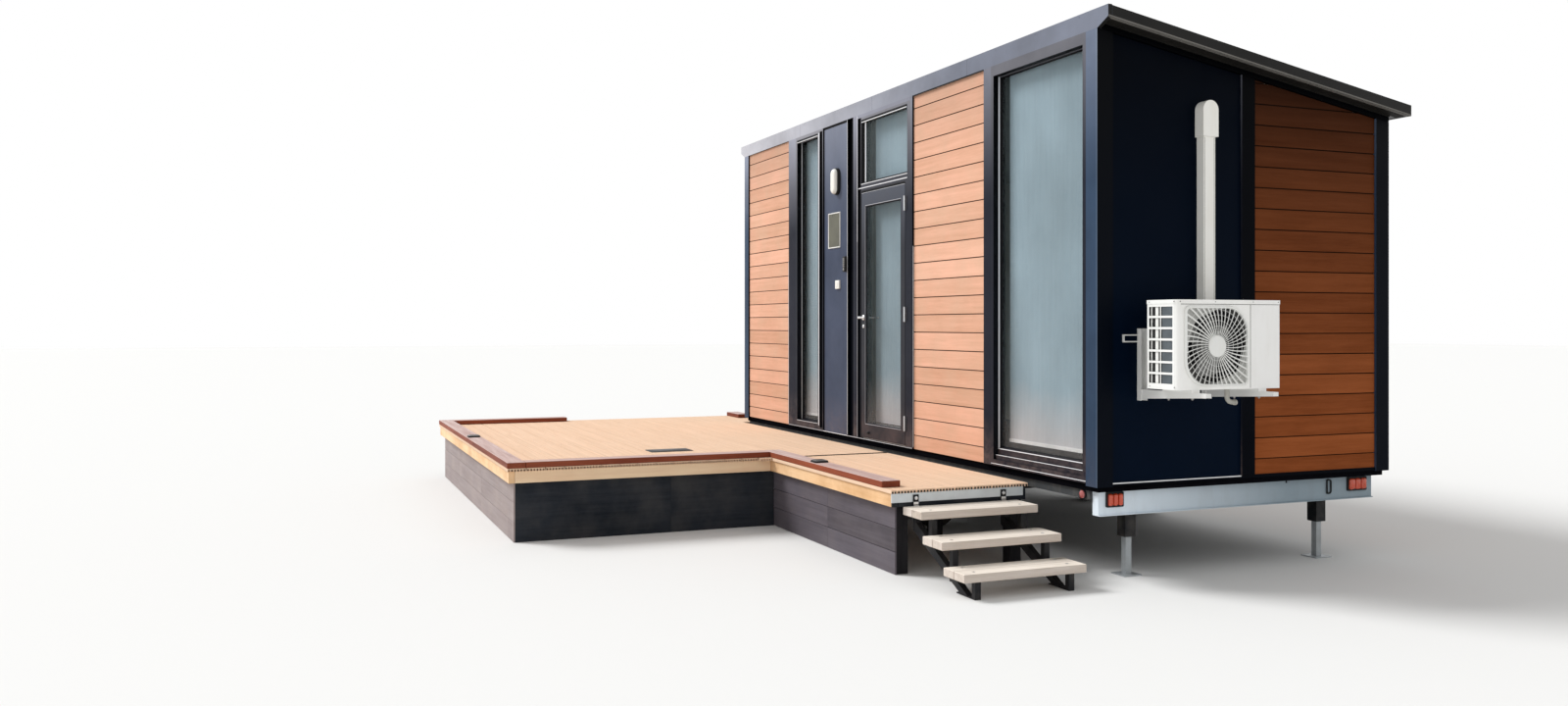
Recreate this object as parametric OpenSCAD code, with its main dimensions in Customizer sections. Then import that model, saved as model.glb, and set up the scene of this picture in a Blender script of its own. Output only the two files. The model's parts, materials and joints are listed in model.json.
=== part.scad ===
// Tiny house on a road trailer, with its timber deck and steps
// House frame: x along the front wall, y from front to back, z up from the ground

/* [House] */
// Length of the house over its corner trims
house_l = 6380; // [6000:10:7200]
// Width of the house over its cladding
house_w = 2500; // [2300:10:2550]
// Height of the roof's underside at the front wall
front_h = 3580; // [3480:10:3700]
// Fall of the roof towards the back, in degrees
roof_pitch = 10; // [7:0.5:12]
// Thickness of the roof panel, measured upright
roof_t = 75; // [60:5:110]
// Reach of the roof past each end wall
end_overhang = 110; // [70:5:180]
// Reach of the roof past the back wall
back_overhang = 90; // [40:5:150]
// Thickness of the wall framing with its lining
wall_t = 90; // [80:2:110]
// Depth of the trims that frame the cladding panels
trim_t = 30; // [24:1:36]
// Thickness of the cladding boards and panels
board_t = 15; // [10:1:20]
// Thickness of the floor
floor_t = 60; // [45:5:80]
// Height of the floor's top above the ground
floor_z = 650; // [600:10:720]
// Drop of the front cladding below the floor's top
skirt_drop = 10; // [5:1:30]
// Width of the corner trims
corner_w = 120; // [90:5:150]
// Drop of the corner trims below the floor's top
corner_drop = 26; // [10:2:50]
// Hairline between pieces that butt together
hairline = 2; // [1:0.5:3]
// Drop of the roof sheet below the flashings' top
rib_h = 12; // [8:1:20]
// Height of the dark bands along the walls' tops
band_h = 50; // [40:2:70]

/* [Front wall, from the right corner] */
// Width of the big window over its frame
big_window_w = 1131; // [900:1:1200]
// Width of the trim beside the big window
window_trim_w = 99; // [60:1:140]
// Width of the timber panel between door and big window
timber_b_w = 1098; // [900:1:1200]
// Width of the strip between timber and door frame
door_strip_w = 30; // [15:1:50]
// Width of the door frame
door_frame_w = 982; // [960:1:1040]
// Width of the grooved cover strip left of the door
cover_w = 237; // [200:1:260]
// Width of the groove in the cover strip
groove_w = 125; // [80:5:140]
// Width of the dark panel that carries the lamp
dark_panel_w = 541; // [480:1:640]
// Width of the narrow window over its frame
narrow_window_w = 665; // [600:1:760]
// Width of the trim left of the narrow window
narrow_trim_w = 187; // [120:1:220]

/* [End and back walls] */
// Width of the dark panel on the end walls
end_dark_w = 1050; // [900:5:1150]
// Width of the trim between dark panel and timber on the end walls
end_trim_w = 110; // [80:5:140]
// Width of the timber at each side of the back wall
back_timber_w = 1000; // [800:10:1200]
// Width of the trims between timber and dark panel on the back wall
back_trim_w = 100; // [80:5:140]

/* [Windows] */
// Face width of the aluminium window frames
sash_w = 34; // [28:1:50]
// Depth of the window frames
sash_d = 100; // [80:5:115]
// Depth of the glass behind the frames' outer face
glass_set = 68; // [50:1:74]
// Thickness of the double glazing
glass_t = 20; // [16:1:24]
// Height of the big window's stepped bottom rail
big_sill_h = 110; // [80:5:140]
// Height of the big window's top rail
big_head_h = 75; // [50:5:100]
// Width of the post right of the narrow window
narrow_post_w = 120; // [80:5:140]
// Height of the narrow window's bottom rail
narrow_sill_h = 58; // [40:2:80]
// Height of the narrow window's top rail
narrow_head_h = 40; // [30:2:60]
// Width of the back window over its frame
back_window_w = 2300; // [1500:10:2600]
// Height of the timber apron under the back window
apron_h = 900; // [600:10:1200]
// Height of the back window over its frame
back_window_h = 1100; // [800:10:1300]
// Width of the small window in the left end wall
side_window_w = 600; // [450:10:800]
// Height of the small window in the left end wall
side_window_h = 900; // [600:10:1200]
// Sill height of the small window above the floor
side_sill_h = 1150; // [900:10:1400]
// Thickness of the roller blinds' cloth
blind_t = 3; // [2:0.5:5]
// Gap between the glass and a roller blind
blind_gap = 10; // [6:1:14]
// Height of the blinds' bottom rails
blind_rail_h = 24; // [18:1:32]
// Thickness of the blinds' bottom rails
blind_rail_t = 12; // [8:1:16]

/* [Door] */
// Width of the door leaf
leaf_w = 820; // [780:5:840]
// Height of the door leaf
leaf_h = 2170; // [2000:5:2250]
// Thickness of the door leaf
leaf_t = 40; // [36:1:45]
// Gap round the door leaf
leaf_gap = 7; // [7:0.5:9]
// Gap between the closed door leaf and its stop
stop_gap = 5; // [5:0.5:7]
// Lap of the door stop behind the leaf
stop_lap = 10; // [8:1:14]
// Width of the jamb on the hinge side
hinge_jamb_w = 90; // [70:1:110]
// Width of the door leaf's stiles
stile_w = 72; // [60:1:95]
// Height of the door leaf's bottom rail
bottom_rail_h = 121; // [100:1:180]
// Height of the door leaf's top rail
top_rail_h = 115; // [80:1:140]
// Height of the frame rail between door and fanlight
mid_rail_h = 75; // [60:1:100]
// Width of the frame round the fanlight
light_rail_w = 60; // [45:1:70]
// Height of the door handle above the floor
handle_h = 1070; // [950:10:1150]
// Radius of the hinge knuckles
knuckle_r = 7; // [6:0.5:8]
// Length of each hinge
hinge_l = 120; // [90:5:150]

/* [Wall fittings] */
// Distance of the bulkhead lamp's middle below the front wall's head
lamp_drop = 540; // [450:5:700]
// Width of the oval bulkhead lamp
lamp_w = 120; // [100:5:140]
// Height of the oval bulkhead lamp
lamp_h = 250; // [220:5:280]
// Depth of the oval bulkhead lamp
lamp_d = 62; // [50:2:80]
// Width of the bare plaque
plaque_w = 260; // [200:5:300]
// Height of the bare plaque
plaque_h = 330; // [240:5:360]
// Thickness of the bare plaque
plaque_t = 10; // [6:1:14]
// Distance of the plaque's middle below the front wall's head
plaque_drop = 990; // [850:5:1150]
// Height of the key box above the floor
key_h = 1491; // [1300:1:1600]
// Height of the switch above the floor
switch_h = 1340; // [1100:10:1450]

/* [Air conditioner] */
// Width of the outdoor unit's casing
ac_w = 805; // [740:5:860]
// Height of the outdoor unit's casing
ac_h = 546; // [500:1:600]
// Depth of the outdoor unit's casing
ac_d = 284; // [260:1:320]
// Gap between the wall's trims and the casing
ac_gap = 226; // [180:1:260]
// Height of the casing's underside above the ground
ac_z = 1261; // [1100:1:1500]
// Distance of the casing from the front corner
ac_inset = 197; // [160:1:320]
// Width of the square fan guard
guard_w = 488; // [440:4:500]
// Radius of the fan's well
well_r = 220; // [190:1:224]
// Depth of the fan's well
well_d = 170; // [140:5:200]
// Radius of the fan over its blades
fan_r = 200; // [170:1:205]
// Radius of the fan's hub
hub_r = 64; // [40:1:70]
// Number of fan blades
blades = 3; // [3:1:5]
// Number of rings in the fan guard
guard_rings = 5; // [3:1:8]
// Number of spokes in the fan guard
guard_spokes = 24; // [16:2:32]
// Thickness of the fan guard's wires
wire_t = 4; // [3:0.5:5]
// Thickness of the casing's lid
lid_t = 24; // [16:1:32]
// Height of the bracket's channels above the casing's underside
channel_h = 370; // [250:2:420]
// Length of the bracket's arms past the casing's front
arm_out = 100; // [20:5:120]
// Width of the pipe cover
duct_w = 95; // [80:5:120]
// Depth of the pipe cover
duct_d = 65; // [50:5:80]
// Distance of the pipe cover's middle from the front corner
duct_inset = 849; // [700:1:1000]
// Distance of the pipe cover's top below the roof
duct_drop = 308; // [200:2:500]
// Height of the pipe cover's cap
duct_cap_h = 237; // [180:1:280]

/* [Trailer] */
// Height of the main rails and the rear beam
beam_h = 160; // [120:5:180]
// Width of the main rails
rail_w = 60; // [50:5:80]
// Distance of each main rail from the middle
rail_y = 560; // [480:10:640]
// Distance of the rear beam's face behind the right wall's face
beam_set = 80; // [40:5:120]
// Radius of the tyres
tyre_r = 285; // [260:5:310]
// Width of the tyres
tyre_w = 165; // [145:5:185]
// Distance of each wheel's middle from the middle of the trailer
wheel_y = 1050; // [1000:5:1070]
// Distance between the two axles
axle_gap = 760; // [700:10:820]
// Position of the axles' middle along the house
axles_x = 350; // [0:10:600]
// Width of a jack leg's outer tube
jack_w = 85; // [70:5:100]
// Width of a jack leg's inner tube
leg_w = 45; // [35:5:60]
// Distance of the jacks from the house's ends
jack_inset = 250; // [210:5:400]
// Distance of the jacks from the middle, across the house
jack_y = 830; // [760:10:1000]
// Length of the drawbar past the left wall
drawbar_l = 1250; // [900:10:1500]

/* [Deck and steps] */
// Height of the decking's top above the ground
deck_z = 570; // [500:5:600]
// Gap between the house and the deck
deck_gap = 15; // [10:1:30]
// Position of the platform's right edge along the house
platform_x = 280; // [0:10:600]
// Length of the platform along the house
platform_l = 4450; // [3600:10:4600]
// Depth of the platform away from the house
platform_w = 3185; // [2600:5:3400]
// Length of the walkway beside the platform
walkway_l = 2160; // [1800:10:2400]
// Depth of the walkway away from the house
walkway_w = 1055; // [900:5:1200]
// Thickness of the decking boards
decking_t = 24; // [20:1:32]
// Width of the kerb boards
kerb_w = 140; // [120:5:160]
// Thickness of the kerb boards
kerb_t = 45; // [35:1:50]
// Distance from the walkway's end to the kerb's end
kerb_short = 140; // [60:10:240]
// Height of the joists under the decking
joist_h = 90; // [80:5:140]
// Thickness of the joists
joist_t = 45; // [35:5:50]
// Distance of the edge boards behind the decking's edge
rim_set = 13; // [8:1:25]
// Number of joists under the platform
joist_count = 9; // [7:2:11]
// Thickness of the skirt boards
skirt_t = 12; // [9:1:18]
// Width of the deck's posts
post_w = 90; // [70:5:120]
// Height of each step
step_rise = 150; // [130:5:175]
// Depth of the treads
tread_l = 250; // [220:5:300]
// Distance between the steps, along the house
step_run = 265; // [230:5:320]
// Thickness of the treads
tread_t = 52; // [40:2:60]
// Width of the treads
tread_w = 880; // [700:10:1000]
// Height of the top tread above the ground
top_tread_z = 460; // [400:5:480]
// Width of the square tubes under the treads
tube_w = 40; // [30:2:50]
// Height of the angle along the walkway's end
angle_h = 60; // [45:5:75]
// Length of the kerb along the platform's left edge
side_kerb_l = 1380; // [1000:10:1700]
// Depth of the platform's part beside the house's corner
beside_w = 291; // [250:1:320]
// Length of the kerb on that part
back_kerb_l = 404; // [300:2:480]
// Width of the lamps on the kerbs
deck_light_w = 110; // [80:5:130]

/* [Hidden] */
$fn = 48;

// Outer faces of the trims, of the cladding zone and of the rooms
end_x = house_l / 2;
side_y = house_w / 2;
frame_x = end_x - trim_t;
frame_y = side_y - trim_t;
room_x = frame_x - wall_t;
room_y = frame_y - wall_t;
board_x = frame_x + board_t;
board_y = frame_y + board_t;

// Edges along the front wall, worked leftwards from the right corner
big_x1 = end_x - corner_w;
big_x0 = big_x1 - big_window_w;
timber_b_x1 = big_x0 - window_trim_w;
timber_b_x0 = timber_b_x1 - timber_b_w;
door_x1 = timber_b_x0 - door_strip_w;
door_x0 = door_x1 - door_frame_w;
dark_x1 = door_x0 - cover_w;
dark_x0 = dark_x1 - dark_panel_w;
narrow_x1 = dark_x0;
narrow_x0 = narrow_x1 - narrow_window_w;
timber_a_x1 = narrow_x0 - narrow_trim_w;
timber_a_x0 = -end_x + corner_w;

// Heights on the front wall
head_z = front_h - band_h;
clad_z = floor_z - skirt_drop;
door_head_z = head_z - 30;

// Roof lines: the underside at any y
roof_slope = tan(roof_pitch);
function under(y) = front_h - (y + side_y) * roof_slope;
roof_y1 = side_y + back_overhang;
roof_x = end_x + end_overhang;
barge_t = 30;
// Seat left under sloping faces
seat = 0.2;
// Play between separate pieces of one group
play = 0.5;

// Door leaf edges and hinge axis
leaf_x1 = door_x1 - hinge_jamb_w - leaf_gap;
leaf_x0 = leaf_x1 - leaf_w;
leaf_z0 = floor_z + leaf_gap;
leaf_z1 = leaf_z0 + leaf_h;
hinge_x = leaf_x1 + 3;
hinge_y = -side_y - knuckle_r - 1;
hinge_zs = [leaf_z0 + 180, (leaf_z0 + leaf_z1) / 2, leaf_z1 - 165];
fanlight_z0 = leaf_z1 + leaf_gap + mid_rail_h;
fanlight_z1 = door_head_z - light_rail_w / 2;

// Roller blinds
blind_y = -side_y + sash_d + blind_gap;
big_blind_z = floor_z + big_sill_h + 74;
narrow_blind_z = floor_z + 130;
door_blind_x0 = door_x0 + 124;
door_blind_x1 = door_x1 - 12;

// Small window and back window edges
back_sill_z = floor_z + apron_h;
back_head_z = back_sill_z + back_window_h;
side_sill_z = floor_z + side_sill_h;
side_window_y1 = -corner_w - 80;
side_window_y0 = side_window_y1 - side_window_w;

// Cladding edges on the end walls
end_dark_y0 = -side_y + corner_w;
end_dark_y1 = end_dark_y0 + end_dark_w;
end_timber_y0 = end_dark_y1 + end_trim_w;
end_timber_y1 = side_y - corner_w;

// Cladding edges on the back wall
back_x1 = back_window_w / 2;
back_timber_x0 = end_x - corner_w - back_timber_w;
back_dark_x1 = back_timber_x0 - back_trim_w;

// Outdoor unit
ac_x0 = end_x + ac_gap;
ac_x1 = ac_x0 + ac_d;
ac_y0 = -side_y + ac_inset;
ac_y1 = ac_y0 + ac_w;
ac_z1 = ac_z + ac_h;
fan_y = ac_y0 + guard_w / 2 + 54;
fan_z = ac_z + ac_h / 2 - 9;
foot_h = 18;
louvre_pitch = (ac_h - 64) / 7;
arm_h = 62;
arm_tip_h = 26;
arm_ys = [ac_y0 + 148, ac_y1 - 137];
guard_d = 14;
shaft_gap = 4.7;
corner_r = 42;
duct_y = -side_y + duct_inset;
duct_z1 = under(duct_y) - duct_drop;
cap_half = duct_w / 2 + 15;

// Trailer levels
beam_z1 = floor_z - floor_t;
beam_z0 = beam_z1 - beam_h;
beam_x = end_x - beam_set;
beam_w = 60;
drawbar_x = -end_x - drawbar_l;
jack_x = end_x - jack_inset;
cross_count = 7;
cross_w = 50;
cross_h = 80;
edge_rail_w = 40;
edge_rail_h = 60;
edge_rail_y = frame_y - 20;
guard_half = axle_gap / 2 + tyre_r + 30;
rim_r = 178;
rim_d = tyre_w / 2 - 12;

// Deck levels and edges
deck_y1 = -side_y - deck_gap;
platform_x0 = platform_x - platform_l;
platform_y0 = deck_y1 - platform_w;
walkway_x1 = platform_x + walkway_l;
walkway_y0 = deck_y1 - walkway_w;
joist_z1 = deck_z - decking_t;
joist_z0 = joist_z1 - joist_h;
skirt_set = rim_set + joist_t;
post_set = skirt_set + skirt_t;
beside_x1 = -end_x - deck_gap;
beside_y1 = deck_y1 + beside_w;
stairs_x0 = walkway_x1 + 10;
tread_y1 = deck_y1 - 95;
tread_y0 = tread_y1 - tread_w;

// Left edges of the joists
joist_x0 = platform_x0 + post_set;
joist_pitch = (platform_x - post_set - joist_t - joist_x0) / (joist_count - 1);
function joist_x(i) = joist_x0 + i * joist_pitch;
function walkway_joist_x(i) = joist_x(joist_count - 1) + i * walkway_l / 4;

// The part's origin is below the middle of everything
reach_x0 = drawbar_x;
reach_x1 = ac_x1 + arm_out;
reach_y0 = platform_y0;
reach_y1 = roof_y1;
shift_x = -(reach_x0 + reach_x1) / 2;
shift_y = -(reach_y0 + reach_y1) / 2;

// Points of a rectangle with its own rounding at each corner, from lower left anticlockwise
function round_corners(w, h, r, n = 10) = [
    for (c = [0 : 3], i = [0 : n])
        let (sx = c == 0 || c == 3 ? -1 : 1, sy = c < 2 ? -1 : 1, a = 180 + 90 * c + 90 * i / n)
            [sx * (w / 2 - r[c]) + r[c] * cos(a), sy * (h / 2 - r[c]) + r[c] * sin(a)]
];

// House frame to the part's frame
module at_house() {
    translate([shift_x, shift_y, 0]) children();
}

// Box between two opposite corners
module block(from, to) {
    translate(from) cube(to - from);
}

// Outline in y and z drawn along x
module along_x(x0, x1) {
    translate([x0, 0, 0]) rotate([90, 0, 90]) linear_extrude(x1 - x0) children();
}

// Outline in x and z drawn along y
module along_y(y0, y1) {
    translate([0, y1, 0]) rotate([90, 0, 0]) linear_extrude(y1 - y0) children();
}

// Slab that ends just under the sloping roof, less a drop
module under_roof(from, to, drop = 0) {
    along_x(from[0], to[0]) polygon([
        [from[1], from[2]], [to[1], from[2]],
        [to[1], under(to[1]) - drop - seat], [from[1], under(from[1]) - drop - seat]
    ]);
}

// Strip of given height that follows the roof's slope
module sloping_strip(from, to, drop, h) {
    along_x(from[0], to[0]) polygon([
        [from[1], under(from[1]) - drop - h], [to[1], under(to[1]) - drop - h],
        [to[1], under(to[1]) - drop], [from[1], under(from[1]) - drop]
    ]);
}

// Frame in a front or back wall, with its clear opening
module y_frame(from, to, left, right, low, high) {
    difference() {
        block(from, to);
        block([from[0] + left, from[1] - 1, from[2] + low], [to[0] - right, to[1] + 1, to[2] - high]);
    }
}

// Floor
module floor() {
    color("#3a3a3c") at_house()
        block([-frame_x, -frame_y, floor_z - floor_t], [frame_x, frame_y, floor_z]);
}

// Walls
module front_wall_left() {
    color("#c9c4ba") at_house() difference() {
        under_roof([-frame_x, -frame_y, floor_z], [door_x0, -room_y]);
        block([narrow_x0, -frame_y - 1, floor_z - 1], [narrow_x1, -room_y + 1, head_z]);
    }
}

module front_wall_right() {
    color("#c9c4ba") at_house() difference() {
        under_roof([door_x1, -frame_y, floor_z], [frame_x, -room_y]);
        block([big_x0, -frame_y - 1, floor_z - 1], [big_x1, -room_y + 1, head_z]);
    }
}

module front_wall_head() {
    color("#c9c4ba") at_house()
        under_roof([door_x0, -frame_y, door_head_z], [door_x1, -room_y]);
}

module back_wall() {
    color("#c9c4ba") at_house() difference() {
        under_roof([-frame_x, room_y, floor_z], [frame_x, frame_y]);
        block([-back_x1, room_y - 1, back_sill_z], [back_x1, frame_y + 1, back_head_z]);
    }
}

module end_wall_right() {
    color("#c9c4ba") at_house()
        under_roof([room_x, -room_y, floor_z], [frame_x, room_y]);
}

module end_wall_left() {
    color("#c9c4ba") at_house() difference() {
        under_roof([-frame_x, -room_y, floor_z], [-room_x, room_y]);
        block([-frame_x - 1, side_window_y0, side_sill_z],
              [-room_x + 1, side_window_y1, side_sill_z + side_window_h]);
    }
}

// Roof panel between its fascia and barges
module roof() {
    color("#4a4b4d") at_house()
        sloping_strip([-roof_x + barge_t, -frame_y], [roof_x - barge_t, roof_y1 - barge_t],
                      rib_h - roof_t, roof_t - rib_h);
}

// Fascia with angled ends, the barges along both ends and the back fascia
module roof_flashings() {
    color("#1b1c1f") at_house() {
        along_y(-side_y, -frame_y) polygon([
            [-end_x, head_z], [end_x, head_z], [roof_x, front_h],
            [roof_x, front_h + roof_t], [-roof_x, front_h + roof_t], [-roof_x, front_h]
        ]);
        for (x = [-roof_x, roof_x - barge_t])
            sloping_strip([x, -frame_y + hairline], [x + barge_t, roof_y1], -roof_t, roof_t);
        sloping_strip([-roof_x + barge_t + hairline, roof_y1 - barge_t], [roof_x - barge_t - hairline, roof_y1],
                      -roof_t, roof_t);
    }
}

// Timber boards on the front wall
module timber_front() {
    color("#b86a35") at_house() {
        block([timber_a_x0, -board_y, clad_z], [timber_a_x1, -frame_y, head_z]);
        block([timber_b_x0, -board_y, clad_z], [timber_b_x1, -frame_y, head_z]);
    }
}

// Timber boards on both end walls
module timber_ends() {
    color("#b86a35") at_house()
        for (x = [-board_x, frame_x])
            under_roof([x, end_timber_y0, floor_z], [x + board_t, end_timber_y1], band_h);
}

// Timber boards on the back wall, beside and under the wide window
module timber_back() {
    color("#b86a35") at_house() {
        for (x = [-end_x + corner_w, back_timber_x0])
            under_roof([x, frame_y, clad_z], [x + back_timber_w, board_y], band_h);
        block([-back_x1, frame_y, clad_z], [back_x1, board_y, back_sill_z]);
    }
}

// Dark sheet panels
module dark_panels() {
    color("#1d2430") at_house() {
        block([dark_x0, -board_y, clad_z], [dark_x1, -frame_y, head_z]);
        under_roof([frame_x, end_dark_y0, floor_z], [board_x, end_dark_y1], band_h);
        difference() {
            under_roof([-board_x, end_dark_y0, floor_z], [-frame_x, end_dark_y1], band_h);
            block([-board_x - 1, side_window_y0, side_sill_z],
                  [-frame_x + 1, side_window_y1, side_sill_z + side_window_h]);
        }
        for (x = [-back_dark_x1, back_x1])
            under_roof([x, frame_y, clad_z], [x + back_dark_x1 - back_x1, board_y], band_h);
        under_roof([-back_x1 + hairline, frame_y, back_head_z], [back_x1 - hairline, board_y], band_h);
    }
}

// L-shaped trims on the four corners
module corner_trims() {
    color("#17181b") at_house()
        for (sx = [-1, 1], sy = [-1, 1]) intersection() {
            translate([0, 0, floor_z - corner_drop]) linear_extrude(front_h) polygon([
                [sx * end_x, sy * side_y], [sx * end_x, sy * (side_y - corner_w)],
                [sx * frame_x, sy * (side_y - corner_w)], [sx * frame_x, sy * frame_y],
                [sx * (end_x - corner_w), sy * frame_y], [sx * (end_x - corner_w), sy * side_y]
            ]);
            under_roof([-end_x, -side_y, 0], [end_x, side_y], band_h);
        }
}

// Upright trims, top bands and base flashings between the panels
module wall_trims() {
    color("#17181b") at_house() {
        block([timber_a_x1, -side_y, clad_z], [narrow_x0, -frame_y, head_z]);
        difference() {
            block([dark_x1, -side_y, clad_z], [door_x0, -frame_y, head_z]);
            block([dark_x1 + 4, -side_y - 1, clad_z - 1], [dark_x1 + 4 + groove_w, -frame_y - 5, head_z + 1]);
            block([door_x0 - 14, -side_y - 1, clad_z - 1], [door_x0 + 1, -side_y + 14, door_head_z]);
        }
        block([door_x1, -side_y, clad_z], [timber_b_x0, -frame_y, head_z]);
        block([timber_b_x1, -side_y, clad_z], [big_x0, -frame_y, head_z]);
        block([door_x0 + hairline, -side_y, door_head_z], [door_x1 - hairline, -frame_y, head_z]);
        for (x = [-back_timber_x0, back_dark_x1])
            under_roof([x, frame_y, clad_z], [x + back_trim_w, side_y], band_h + hairline);
        for (x = [[narrow_x0, narrow_x1], [big_x0, big_x1]])
            block([x[0] + hairline, -side_y, clad_z], [x[1] - hairline, -frame_y, floor_z]);
        for (s = [-1, 1]) {
            x0 = min(s * frame_x, s * end_x);
            base_x0 = min(s * frame_x, s * (board_x + 7));
            under_roof([x0, end_dark_y1, floor_z], [x0 + trim_t, end_timber_y0], band_h);
            sloping_strip([x0, -frame_y], [x0 + trim_t, side_y], seat, band_h - hairline - seat);
            block([base_x0, end_dark_y0 + hairline, floor_z - 22],
                  [base_x0 + board_t + 7, end_timber_y1 - hairline, floor_z - seat]);
        }
        sloping_strip([-frame_x + hairline, frame_y], [frame_x - hairline, side_y], seat, band_h - seat);
    }
}

// Frames of the big window, with its stepped sill, and of the narrow window in the front wall
module front_window_frames() {
    color("#1b1c1f") at_house() {
        difference() {
            y_frame([big_x0, -side_y, floor_z], [big_x1, -side_y + sash_d, head_z], sash_w, sash_w,
                    big_sill_h, big_head_h);
            block([big_x0 + sash_w, -side_y - 1, floor_z + big_sill_h * 0.6],
                  [big_x1 - sash_w, -side_y + glass_set * 0.6, floor_z + big_sill_h + 1]);
            block([big_x0 + sash_w, -side_y - 1, floor_z + big_sill_h * 0.3],
                  [big_x1 - sash_w, -side_y + glass_set * 0.3, floor_z + big_sill_h]);
        }
        difference() {
            y_frame([narrow_x0, -side_y, floor_z], [narrow_x1, -side_y + sash_d, head_z], sash_w,
                    narrow_post_w, narrow_sill_h, narrow_head_h);
            block([narrow_x1 - 74, -side_y - 1, floor_z + 20], [narrow_x1 - 14, -side_y + 20, head_z - 20]);
        }
    }
}

// Frames of the wide window in the back wall and the small one in the left end wall
module rear_window_frames() {
    color("#1b1c1f") at_house() {
        difference() {
            block([-back_x1, side_y - sash_d, back_sill_z], [back_x1, side_y, back_head_z]);
            for (x = [-back_x1 + sash_w, sash_w / 2])
                block([x, side_y - sash_d - 1, back_sill_z + sash_w],
                      [x + back_x1 - 1.5 * sash_w, side_y + 1, back_head_z - sash_w]);
        }
        difference() {
            block([-end_x, side_window_y0, side_sill_z],
                  [-end_x + sash_d, side_window_y1, side_sill_z + side_window_h]);
            block([-end_x - 1, side_window_y0 + sash_w, side_sill_z + sash_w],
                  [-end_x + sash_d + 1, side_window_y1 - sash_w, side_sill_z + side_window_h - sash_w]);
        }
    }
}

// Glass of all the windows and the fanlight
module window_glass() {
    y0 = -side_y + glass_set;
    y1 = side_y - glass_set - glass_t;
    color("#9fb4bf", 0.5) at_house() {
        block([big_x0 + sash_w, y0, floor_z + big_sill_h], [big_x1 - sash_w, y0 + glass_t, head_z - big_head_h]);
        block([narrow_x0 + sash_w, y0, floor_z + narrow_sill_h],
              [narrow_x1 - narrow_post_w, y0 + glass_t, head_z - narrow_head_h]);
        block([door_x0 + light_rail_w, -side_y + 20, fanlight_z0],
              [door_x1 - light_rail_w, -side_y + 20 + glass_t, fanlight_z1]);
        for (x = [-back_x1 + sash_w, sash_w / 2])
            block([x, y1, back_sill_z + sash_w],
                  [x + back_x1 - 1.5 * sash_w, y1 + glass_t, back_head_z - sash_w]);
        block([-end_x + glass_set, side_window_y0 + sash_w, side_sill_z + sash_w],
              [-end_x + glass_set + glass_t, side_window_y1 - sash_w, side_sill_z + side_window_h - sash_w]);
    }
}

// Cloth of the roller blinds behind the big and the narrow window
module roller_blinds() {
    color("#b9bcb6") at_house() {
        block([big_x0 + 80, blind_y, big_blind_z], [big_x1 - 10, blind_y + blind_t, head_z]);
        block([narrow_x0 + 10, blind_y, narrow_blind_z], [narrow_x1 - 60, blind_y + blind_t, head_z]);
    }
}

// Rails along the blinds' lower edges
module blind_rails() {
    y0 = blind_y + blind_t / 2 - blind_rail_t / 2;
    color("white") at_house() {
        block([big_x0 + 80, y0, big_blind_z - blind_rail_h], [big_x1 - 10, y0 + blind_rail_t, big_blind_z]);
        block([narrow_x0 + 10, y0, narrow_blind_z - blind_rail_h],
              [narrow_x1 - 60, y0 + blind_rail_t, narrow_blind_z]);
        block([door_blind_x0, y0, narrow_blind_z - blind_rail_h],
              [door_blind_x1, y0 + blind_rail_t, narrow_blind_z]);
    }
}

// Door frame with the fanlight over the door
module door_frame() {
    color("#1b1c1f") at_house() difference() {
        block([door_x0, -side_y, floor_z], [door_x1, -side_y + sash_d, door_head_z]);
        block([door_x0 - 1, -side_y - 1, floor_z - 1], [leaf_x0 - leaf_gap - 4, -side_y + 14, door_head_z + 1]);
        block([leaf_x0 - leaf_gap, -side_y - 1, floor_z - 1],
              [leaf_x1 + leaf_gap, -side_y + leaf_t + stop_gap, leaf_z1 + leaf_gap]);
        block([leaf_x0 + stop_lap, -side_y, floor_z - 1],
              [leaf_x1 - stop_lap, -side_y + sash_d + 1, leaf_z1 - stop_lap]);
        block([door_x0 + light_rail_w, -side_y - 1, fanlight_z0],
              [door_x1 - light_rail_w, -side_y + sash_d + 1, fanlight_z1]);
    }
}

// Door leaf with its halves of the hinges
module door_leaf() {
    color("#1f2023") at_house() {
        y_frame([leaf_x0, -side_y, leaf_z0], [leaf_x1, -side_y + leaf_t, leaf_z1], stile_w, stile_w,
                bottom_rail_h, top_rail_h);
        for (z = hinge_zs) {
            translate([hinge_x, hinge_y, z - hinge_l / 6 + 0.3]) cylinder(r = knuckle_r, h = hinge_l / 3 - 0.6);
            block([hinge_x - 34, -side_y - 3, z - hinge_l / 2], [hinge_x - 9, -side_y, z + hinge_l / 2]);
            block([hinge_x - 9, -side_y - 3, z - hinge_l / 6 + 0.3], [hinge_x - 3, -side_y, z + hinge_l / 6 - 0.3]);
        }
    }
}

// Glass in the door leaf
module door_glass() {
    color("#9fb4bf", 0.5) at_house()
        block([leaf_x0 + stile_w, -side_y + 10, leaf_z0 + bottom_rail_h],
              [leaf_x1 - stile_w, -side_y + 10 + glass_t, leaf_z1 - top_rail_h]);
}

// Cloth of the roller blind that hangs behind the door and the fanlight
module door_blind() {
    color("#b9bcb6") at_house()
        block([door_blind_x0, blind_y, narrow_blind_z], [door_blind_x1, blind_y + blind_t, door_head_z]);
}

// Rose and lever on both faces of the door
module door_handle() {
    x = leaf_x0 + 42;
    z = floor_z + handle_h;
    color("silver") at_house()
        for (s = [-1, 1]) {
            y = s < 0 ? -side_y : -side_y + leaf_t;
            translate([x, y, z]) rotate([-90 * s, 0, 0]) {
                cylinder(r = 26, h = 9);
                cylinder(r = 10, h = 50);
            }
            block([x - 10, min(y + s * 42, y + s * 58), z - 10], [x + 118, max(y + s * 42, y + s * 58), z + 10]);
        }
}

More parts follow.
